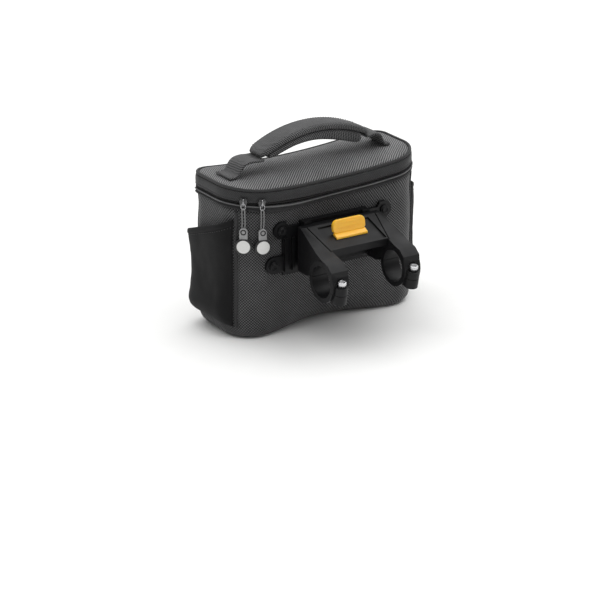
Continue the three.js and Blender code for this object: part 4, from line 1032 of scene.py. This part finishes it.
class BAG_OT_pockets(bpy.types.Operator):
    """Makes the stretch side pockets with their bound mouths"""
    bl_idname = "bag.pockets"
    bl_label = "Side pockets"

    def execute(self, context):
        paths = []
        for side, rear, front in (
            ("left", REAR_LEFT_SEAM - 0.4, FRONT_LEFT_SEAM + 0.4),
            ("right", REAR_RIGHT_SEAM + 0.4, FRONT_RIGHT_SEAM - 0.4),
        ):
            paths.append(self.pocket(context, side, rear, front))
        stitches("pocket_stitches", paths, context, slot="stretch_fabric")
        return {"FINISHED"}

    def pocket(self, context, side, rear, front):
        look = finishes(context)["stretch_fabric"]

        def skin(t, up, extra):
            top = lerp(POCKET_TOP[0], POCKET_TOP[1], t)
            height = lerp(POCKET_BOTTOM, top, up)
            out = POCKET_STANDOFF * along(POCKET_ALONG, "out", t) * along(POCKET_UP, "out", up)
            place = lerp(rear, front, t)
            rest = body_point(place, height, 0, folds=False)
            loose = smooth(0, 0.12, t) * smooth(1, 0.88, t) * smooth(0, 0.1, up)
            droop = 0.7 * wander(Vector((rest.x * 0.4, rest.y, rest.z * 0.6)), 17, 8)
            ripple = 0.35 * wander(rest, 8, 9)
            stand = POCKET_SEAM + max(0.0, out) + extra + loose * (droop + ripple)
            return body_point(place, height, stand, folds=False)

        shares = [i / 30 for i in range(31)]
        if rear > front:
            shares = shares[::-1]
        ups = [0, 0.015, 0.04, 0.07, 0.11] + [lerp(0.16, 1, i / 26) for i in range(27)]
        rows = [[skin(t, up, POCKET_WALL) for t in shares] for up in ups]
        cloth_side = surface(f"pocket_cloth_{side}", rows, look)
        thicken(cloth_side, POCKET_WALL)
        carried(cloth_side, "bag", "stretch_fabric", f"pocket_{side}")

        rings = []
        for t in shares:
            middle = skin(t, 0.985, POCKET_WALL * 0.5)
            out = (skin(t, 0.985, POCKET_WALL * 0.5 + 1) - middle).normalized()
            up = Vector((0, 0, 1))
            turns = full_turn(12)
            rings.append([middle + out * 1.35 * math.cos(a) - up * 3.0 * math.sin(a) for a in turns])
        binding = solid(f"pocket_binding_{side}", rings, look)
        carried(binding, "bag", "stretch_fabric")
        inside = [t for t in shares if 0.02 < t < 0.98]
        return seam_path(inside, lambda t, out: skin(t, 0.94, out), POCKET_WALL + 0.1)


def arch_point(x, depth):
    turn = math.asin((x - ARCH_CENTRE) / ARCH_RADIUS)
    radius = ARCH_RADIUS - depth
    height = ARCH_APEX - ARCH_RADIUS + radius * math.cos(turn)
    return Vector((ARCH_CENTRE + radius * math.sin(turn), 0, height))


def soft_section(width, thickness, crown, edge=2.2, sides=5):
    """Flat section with rounded edges, as (across, up), anticlockwise seen from the far end."""
    w, t = width / 2, thickness / 2
    e = min(t, edge)
    points = []
    corners = ((-w + e, -t + e, 180), (w - e, -t + e, 270), (w - e, t - e, 0), (-w + e, t - e, 90))
    for cx, cz, start in corners:
        for i in range(sides):
            turn = math.radians(start + 90 * i / (sides - 1))
            points.append((cx + e * math.cos(turn), cz + e * math.sin(turn)))
    rounded = []
    for i, (across, up) in enumerate(points):
        nxt = points[(i + 1) % len(points)]
        rounded.append((across, up))
        if abs(nxt[0] - across) > width * 0.4:
            for k in range(1, 8):
                share = k / 8
                rise = crown * math.sin(math.pi * share) if up > 0 else 0.0
                rounded.append((lerp(across, nxt[0], share), lerp(up, nxt[1], share) + rise))
    return rounded


def sweep(name, stops, finish):
    """Bar along a path in the XZ plane; a stop is a point and its section."""
    rings = []
    for i, (point, section) in enumerate(stops):
        before, after = stops[max(0, i - 1)][0], stops[min(len(stops) - 1, i + 1)][0]
        turn = math.atan2(after.z - before.z, after.x - before.x)
        up = Vector((-math.sin(turn), 0, math.cos(turn)))
        ring = [point + Vector((0, across, 0)) + up * rise for across, rise in section]
        rings.append([settle(p) for p in ring])
    return solid(name, rings, finish)


STRAP_SIZE = table(
    "at size",
    (0.0, 0.7), (0.03, 0.9), (0.12, 0.97), (0.3, 1.0), (0.7, 1.0), (0.88, 0.96), (0.97, 0.86), (1.0, 0.7),
)
PAD_SHAPE = table(
    "at full size",
    (0.0, 0.0, 0.5), (0.06, 0.0, 0.85), (0.3, 0.0, 1.0), (0.5, 0.35, 1.0),
    (0.7, 0.9, 1.0), (0.88, 1.0, 1.0), (0.97, 0.85, 0.95), (1.0, 0.6, 0.8),
)
TAB_PATH = table(
    "at up",
    (0.0, 1.0), (0.14, 1.0), (0.3, 1.06), (0.45, 1.03), (0.55, 0.92),
    (0.62, 0.72), (0.68, 0.42), (0.75, 0.14), (0.84, 0.0), (1.0, 0.0),
)


def lid_height(x, crown):
    """Height of the lid's face on the middle line."""
    share = min(1.0, abs(x) / (LID_HALF_LENGTH - PANEL_INSET))
    return SEAM_HEIGHT + end_lift(x) + LID_FACE + crown * (1 - share ** LID_CROWN_POWER)


class BAG_OT_handle(bpy.types.Operator):
    """Makes the arched handle: strap, padded sleeve and the two sewn tabs"""
    bl_idname = "bag.handle"
    bl_label = "Handle"

    def execute(self, context):
        look = finishes(context)["webbing"]
        stops = []
        for i in range(61):
            share = i / 60
            x = ARCH_CENTRE + lerp(-STRAP_REACH[0], STRAP_REACH[1], share)
            size = along(STRAP_SIZE, "size", share)
            soft = 0.25 * wander(Vector((x, 0, 0)), 14, 12)
            section = soft_section(STRAP_WIDTH * size + soft, STRAP_THICKNESS * min(1, size + 0.05), 0.7)
            stops.append((arch_point(x, STRAP_THICKNESS / 2), section))
        strap = sweep("handle_web", stops, look)
        carried(strap, "bag", "webbing", "handle_strap")

        stops = []
        for i in range(49):
            share = i / 48
            x = ARCH_CENTRE + lerp(-PAD_REACH[0], PAD_REACH[1], share)
            size = along(PAD_SHAPE, "size", share)
            thickness = PAD_THICKNESS * size + PAD_FULLNESS * along(PAD_SHAPE, "full", share)
            soft = 0.3 * wander(Vector((x, 3, 0)), 12, 13)
            section = soft_section(PAD_WIDTH + soft, thickness, 0, edge=3.2)
            stops.append((arch_point(x, STRAP_THICKNESS + PAD_CLEARANCE + thickness / 2), section))
        pad = sweep("handle_sleeve", stops, look)
        carried(pad, "bag", "webbing", "handle_pad")

        paths = []
        for side in (-1, 1):
            paths += self.tab(context, side)
        edge = STRAP_WIDTH / 2 - STRAP_HEM
        for across in (-edge, edge):
            path = []
            for i in range(41):
                x = ARCH_CENTRE + lerp(-STRAP_REACH[0] + 6, STRAP_REACH[1] - 6, i / 40)
                point = arch_point(x, -0.25) + Vector((0, across, 0))
                path.append((settle(point), point - arch_point(x, 20) - Vector((0, across, 0))))
            paths.append(path)
        stitches("handle_stitches", paths, context, slot="webbing")
        return {"FINISHED"}

    def tab(self, context, side):
        crown = context.scene.bag_sizes.lid_crown / MM
        name = "left" if side < 0 else "right"
        strap_end = ARCH_CENTRE + side * (STRAP_REACH[0] if side < 0 else STRAP_REACH[1])
        under = arch_point(strap_end, STRAP_THICKNESS * (1 + 0.72) / 2)
        start = under.x - side * 2
        start_z = under.z - PAD_CLEARANCE - WEBBING / 2
        end = TAB_ENDS[0] if side < 0 else TAB_ENDS[1]
        rise = GAP + 0.1 + WEBBING / 2
        stops = []
        for i in range(49):
            share = i / 48
            x = lerp(start, end, share)
            ground = lid_height(x, crown) + rise
            z = lerp(ground, start_z, along(TAB_PATH, "up", share))
            stops.append((Vector((x, 0, z)), soft_section(TAB_WIDTH, WEBBING, 0.2, edge=1.0)))
        if side < 0:
            stops = stops[::-1]
        piece = sweep(f"handle_foot_{name}", stops, finishes(context)["webbing"])
        carried(piece, "bag", "webbing", f"handle_tab_{name}")

        def on_foot(x, y):
            return settle(Vector((x, y, lid_height(x, crown) + rise + WEBBING / 2 + 0.1)))

        near, far = (end - side * reach for reach in TAB_BOX)
        half = TAB_WIDTH / 2 - 2
        corners = [(near, -half), (near, half), (far, half), (far, -half), (near, -half), (far, half)]
        paths = []
        for (x0, y0), (x1, y1) in zip(corners, corners[1:]):
            line = [on_foot(lerp(x0, x1, i / 8), lerp(y0, y1, i / 8)) for i in range(9)]
            paths.append([(p, Vector((0, 0, 1))) for p in line])
        return paths


def pull_frame(angle, outward, drop):
    """Origin, sideways, up and outward directions of a pull, hanging by the rear left corner."""
    out = Vector((math.cos(math.radians(angle)), math.sin(math.radians(angle)), 0))
    centre = Vector((-(LID_HALF_LENGTH - LID_REAR_RADIUS), -(LID_HALF_DEPTH - LID_REAR_RADIUS), 0))
    rim = centre + out * LID_REAR_RADIUS
    top = Vector((rim.x, rim.y, SEAM_HEIGHT + end_lift(rim.x)))
    fall = settle(top).z - top.z
    origin = centre + out * (LID_REAR_RADIUS + outward)
    origin.z = top.z + fall * 0.8 - drop
    return origin, Vector((-out.y, out.x, 0)), Vector((0, 0, 1)), out


def in_frame(place, x, y, z):
    origin, side, up, out = place
    return origin + side * x + up * y + out * z


def pebble(name, place, outline, depth, rounding, finish):
    """Flat moulded piece with rounded edges: its outline is closed and anticlockwise seen from outside."""
    shoulder = rounding * 0.35
    layers = [(0, rounding), (shoulder, shoulder), (rounding, 0)]
    layers += [(depth - rounding, 0), (depth - shoulder, shoulder), (depth, rounding)]
    middle = Vector((sum(p[0] for p in outline), sum(p[1] for p in outline))) / len(outline)
    rows = []
    for out, inset in layers:
        row = []
        for x, y in outline:
            away = Vector((x, y)) - middle
            inner = middle + away * max(0.0, 1 - inset / max(away.length, 0.01))
            row.append(in_frame(place, inner.x, inner.y, out))
        rows.append(row)
    return solid(name, rows, finish)


def ring_outline(radius, sides=36):
    return [(radius * math.cos(a), radius * math.sin(a)) for a in full_turn(sides)]


def tube(name, path, radius, finish, sides=10):
    """Round tube along a path of points."""
    rings = []
    normal = None
    for i, point in enumerate(path):
        ahead = (path[min(i + 1, len(path) - 1)] - path[max(i - 1, 0)]).normalized()
        if normal is None:
            normal = ahead.orthogonal().normalized()
        normal = (normal - ahead * normal.dot(ahead)).normalized()
        side = ahead.cross(normal)
        ring = [point + (normal * math.cos(a) - side * math.sin(a)) * radius for a in full_turn(sides)]
        rings.append(ring[::-1])
    return solid(name, rings, finish)


class BAG_OT_pulls(bpy.types.Operator):
    """Makes the sliders, cord loops, moulded grips and reflective discs"""
    bl_idname = "bag.pulls"
    bl_label = "Zip pulls"

    def execute(self, context):
        for side, angle in PULL_ANGLES.items():
            self.slider(context, side, angle)
            self.cord(context, side, angle)
            self.grip(context, side, angle)
        return {"FINISHED"}

    def slider(self, context, side, angle):
        look = finishes(context)["zip_nylon"]
        place = pull_frame(angle, 1.3, SLIDER_DROP)
        outline = [(-2.4, -4.5), (2.4, -4.5), (3.2, -2), (3.9, 1), (3.6, 3.6), (2.2, 4.5),
                   (0, 4.1), (-2.2, 4.5), (-3.6, 3.6), (-3.9, 1), (-3.2, -2)]
        body = pebble(f"slider_body_{side}", place, outline, 2.0, 0.6, look)
        carried(body, "bag", "zip_nylon", f"zip_slider_{side}")
        # The bridge and the wire loop are pale metal: a painted highlight for glints on black lacquer
        turns = [lerp(-0.15, math.pi + 0.15, i / 16) for i in range(17)]
        path = [in_frame(place, 0, 0.4 + 3.1 * math.cos(a), 1.7 + 1.5 * math.sin(a)) for a in turns]
        bridge = tube(f"slider_bridge_{side}", path, 0.65, finishes(context)["slider_wire"])
        carried(bridge, "bag", "zip_nylon")
        # Wire loop that joins the slider to the cord
        turns = full_turn(28, closed=True)
        path = [in_frame(place, 2.2 * math.cos(a), -3.4 + 2.9 * math.sin(a), 2.6) for a in turns]
        wire = tube(f"slider_loop_{side}", path, 0.5, finishes(context)["slider_wire"])
        carried(wire, "bag", "zip_nylon")

    def cord(self, context, side, angle):
        place = pull_frame(angle, PULL_OUT + GRIP_THICKNESS / 2, CORD_TOP_DROP)
        half = CORD_RADIUS * 2.1
        path = []
        for i in range(49):
            t = lerp(-1, 1, i / 48)
            down = CORD_LENGTH * min(1.0, (abs(t) * 1.04)) ** 1.15
            across = half * math.copysign(min(1.0, abs(t) * 7) ** 0.5, t)
            sway = 0.35 * math.sin(abs(t) * 5 + angle)
            path.append(in_frame(place, across + sway * abs(t), -down, 0))
        loop = tube(f"pull_loop_{side}", path, CORD_RADIUS, finishes(context)["cord"])
        carried(loop, "bag", "cord", f"pull_cord_{side}")

    def grip(self, context, side, angle):
        looks = finishes(context)
        place = pull_frame(angle, PULL_OUT, GRIP_CENTRE_DROP)
        width, neck = GRIP_NECK
        round_edge = ring_outline(GRIP_RADIUS)
        rim = pebble(f"pull_rim_{side}", place, round_edge, GRIP_THICKNESS, 0.9, looks["rim_rubber"])
        carried(rim, "bag", "grip_rubber", f"pull_grip_{side}")
        top = neck + GRIP_RADIUS * 0.8
        half = width / 2 - 0.3
        outline = [(-half, GRIP_RADIUS * 0.86), (half, GRIP_RADIUS * 0.86)]
        outline += [(half, lerp(GRIP_RADIUS, top - half, i / 4)) for i in range(5)]
        outline += [(half * math.cos(a), top - half + half * math.sin(a))
                    for a in [math.pi * i / 12 for i in range(1, 12)]]
        outline += [(-half, lerp(top - half, GRIP_RADIUS, i / 4)) for i in range(5)]
        stalk = pebble(f"pull_neck_{side}", place, outline, GRIP_THICKNESS - 0.3, 0.7, looks["grip_rubber"])
        carried(stalk, "bag", "grip_rubber")
        eye = pull_frame(angle, PULL_OUT + GRIP_THICKNESS - 0.5, GRIP_CENTRE_DROP - top + half)
        turns = full_turn(28, closed=True)
        path = [in_frame(eye, EYE_RADIUS * math.cos(a), EYE_RADIUS * math.sin(a), 0) for a in turns]
        ring = tube(f"pull_eye_{side}", path, 0.7, looks["rim_rubber"])
        carried(ring, "bag", "grip_rubber")
        bars = []
        for row in (0, 1):
            y = -half - 1.0 - 1.7 * row
            bars.append([(in_frame(eye, x, y, 0.1), eye[3]) for x in (-2.4, 2.4)])
        pattern = bead("ridge", (1.2, 0.8, 1.0))
        ridge = repeated(f"pull_ridges_{side}", bars, pattern, looks["grip_rubber"], 0.8)
        carried(ridge, "bag", "grip_rubber")
        place = pull_frame(angle, PULL_OUT + GRIP_THICKNESS - 0.1, GRIP_CENTRE_DROP)
        disc = pebble(f"pull_film_{side}", place, ring_outline(DISC_RADIUS), 0.9, 0.35, looks["reflector"])
        carried(disc, "bag", "reflector", f"pull_disc_{side}")


def lathe(name, profile, finish, sides=40):
    """Turned piece: the profile is (radius, height) from the bottom of the axis to the top."""
    rows = []
    for radius, height in profile:
        rows.append([Vector((x, y, height)) for x, y in ring_outline(radius, sides)])
    return solid(name, rows, finish)


class BAG_OT_plate(bpy.types.Operator):
    """Makes the moulded back plate and its ringed rivets"""
    bl_idname = "bag.plate"
    bl_label = "Back plate"

    def execute(self, context):
        look = finishes(context)["black_plastic"]
        plate = moulded_copy("back_plate", "plate_moulding", look, context.scene.bag_sizes.edge_round)
        carried(plate, "bag", "black_plastic", "back_plate")
        profile = [
            (2.0, -2.6), (2.0, 0.3), (4.5, 0.3), (4.8, 0.6), (4.8, 1.2), (4.5, 1.7), (4.1, 1.9), (3.8, 1.6),
            (3.5, 1.7), (3.3, 2.4), (2.9, 2.8), (2.4, 2.7), (2.1, 2.2), (1.5, 2.1), (0.5, 2.2),
        ]
        pattern = lathe("rivet", profile, look)
        spots = [[(Vector((x, PLATE_REAR, z)), Vector((0, -1, 0)), Vector((1, 0, 0)))] for x, z in RIVETS]
        rivets = repeated("plate_rivets", spots, pattern, look)
        carried(rivets, "bag", "black_plastic", *[f"plate_rivet_{i + 1}" for i in range(len(RIVETS))])
        return {"FINISHED"}


def bolt_frame(side):
    """Seat of a clamp screw and the direction of its head."""
    tilt = math.radians(SPLIT_TILT)
    towards = Vector((0, -math.cos(tilt), -math.sin(tilt)))
    up = Vector((0, -math.sin(tilt), math.cos(tilt)))
    seat = BAR + Vector((side * CLAMP_CENTRE_X, 0, 0)) + towards * BOLT_REACH
    return seat + up * (SPLIT_OFFSET + BOLT_SEAT), up


class BAG_OT_adapter(bpy.types.Operator):
    """Makes the adapter: housing, clamp caps, socket screws and lever"""
    bl_idname = "bag.adapter"
    bl_label = "Adapter"

    def execute(self, context):
        looks = finishes(context)
        rounding = context.scene.bag_sizes.edge_round
        housing = moulded_copy("bracket_housing", "housing_moulding", looks["black_plastic"], rounding)
        carried(housing, "bracket", "black_plastic", "bracket_housing")
        for name, side in (("left", -1), ("right", 1)):
            node = f"clamp_cap_{name}"
            cap = moulded_copy(node, f"cap_moulding_{name}", looks["black_plastic"], rounding)
            carried(cap, "bracket", "black_plastic", node)
            self.screw(context, name, side)
        lever = moulded_copy("release_lever", "lever_moulding", looks["lever_yellow"], rounding * 0.8, 3)
        carried(lever, "lever", "lever_yellow", "release_lever")
        return {"FINISHED"}

    def screw(self, context, name, side):
        """Socket screw: shank, plain head with a chamfer, and a six-sided socket."""
        seat, up = bolt_frame(side)
        along_x = Vector((1, 0, 0))
        across = up.cross(along_x)
        sides = 48

        def ring(height, radius, hexagon=False):
            row = []
            for i in range(sides):
                turn = math.tau * i / sides
                reach = radius
                if hexagon:
                    reach = radius / math.cos((turn % (math.pi / 3)) - math.pi / 6)
                out = along_x * math.cos(turn) + across * math.sin(turn)
                row.append(seat + up * height + out * reach)
            return row

        rows = [
            ring(-14.8, 2.2), ring(-14.5, 2.5), ring(0, 2.5), ring(0.02, 4.1), ring(0.25, 4.3),
            ring(4.0, 4.3), ring(4.35, 4.15), ring(4.6, 3.8),
            ring(4.6, 2.35, True), ring(4.45, 2.1, True), ring(2.3, 2.1, True),
        ]
        look = finishes(context)["bolt_steel"]
        made = solid(f"socket_screw_{name}", rows, look)
        carried(made, "bracket", "bolt_steel", f"clamp_bolt_{name}")


class BAG_PT_panel(bpy.types.Panel):
    """Lists the sizes, the colours and the pieces"""
    bl_idname = "BAG_PT_panel"
    bl_label = "Handlebar Bag"
    bl_space_type = "VIEW_3D"
    bl_region_type = "UI"
    bl_category = "Handlebar Bag"

    def draw(self, context):
        for group in (context.scene.bag_sizes, context.scene.bag_colours):
            box = self.layout.box()
            for name in group.__annotations__:
                box.prop(group, name)
        for operator in OPERATORS:
            self.layout.operator(operator.bl_idname)


OPERATORS = (
    BAG_OT_stage, BAG_OT_body, BAG_OT_lid, BAG_OT_zip, BAG_OT_pockets, BAG_OT_handle, BAG_OT_pulls,
    BAG_OT_plate, BAG_OT_adapter,
)
CLASSES = (BagSizes, BagColours, *OPERATORS, BAG_PT_panel)


def register():
    for kind in CLASSES:
        bpy.utils.register_class(kind)
    bpy.types.Scene.bag_sizes = bpy.props.PointerProperty(type=BagSizes)
    bpy.types.Scene.bag_colours = bpy.props.PointerProperty(type=BagColours)


def unregister():
    del bpy.types.Scene.bag_colours
    del bpy.types.Scene.bag_sizes
    for kind in reversed(CLASSES):
        bpy.utils.unregister_class(kind)


def main():
    register()
    bpy.ops.bag.stage()
    bpy.ops.bag.body()
    bpy.ops.bag.lid()
    bpy.ops.bag.zip()
    bpy.ops.bag.pockets()
    bpy.ops.bag.handle()
    bpy.ops.bag.pulls()
    bpy.ops.bag.plate()
    bpy.ops.bag.adapter()
    bpy.context.view_layer.update()


if __name__ == "__main__":
    main()
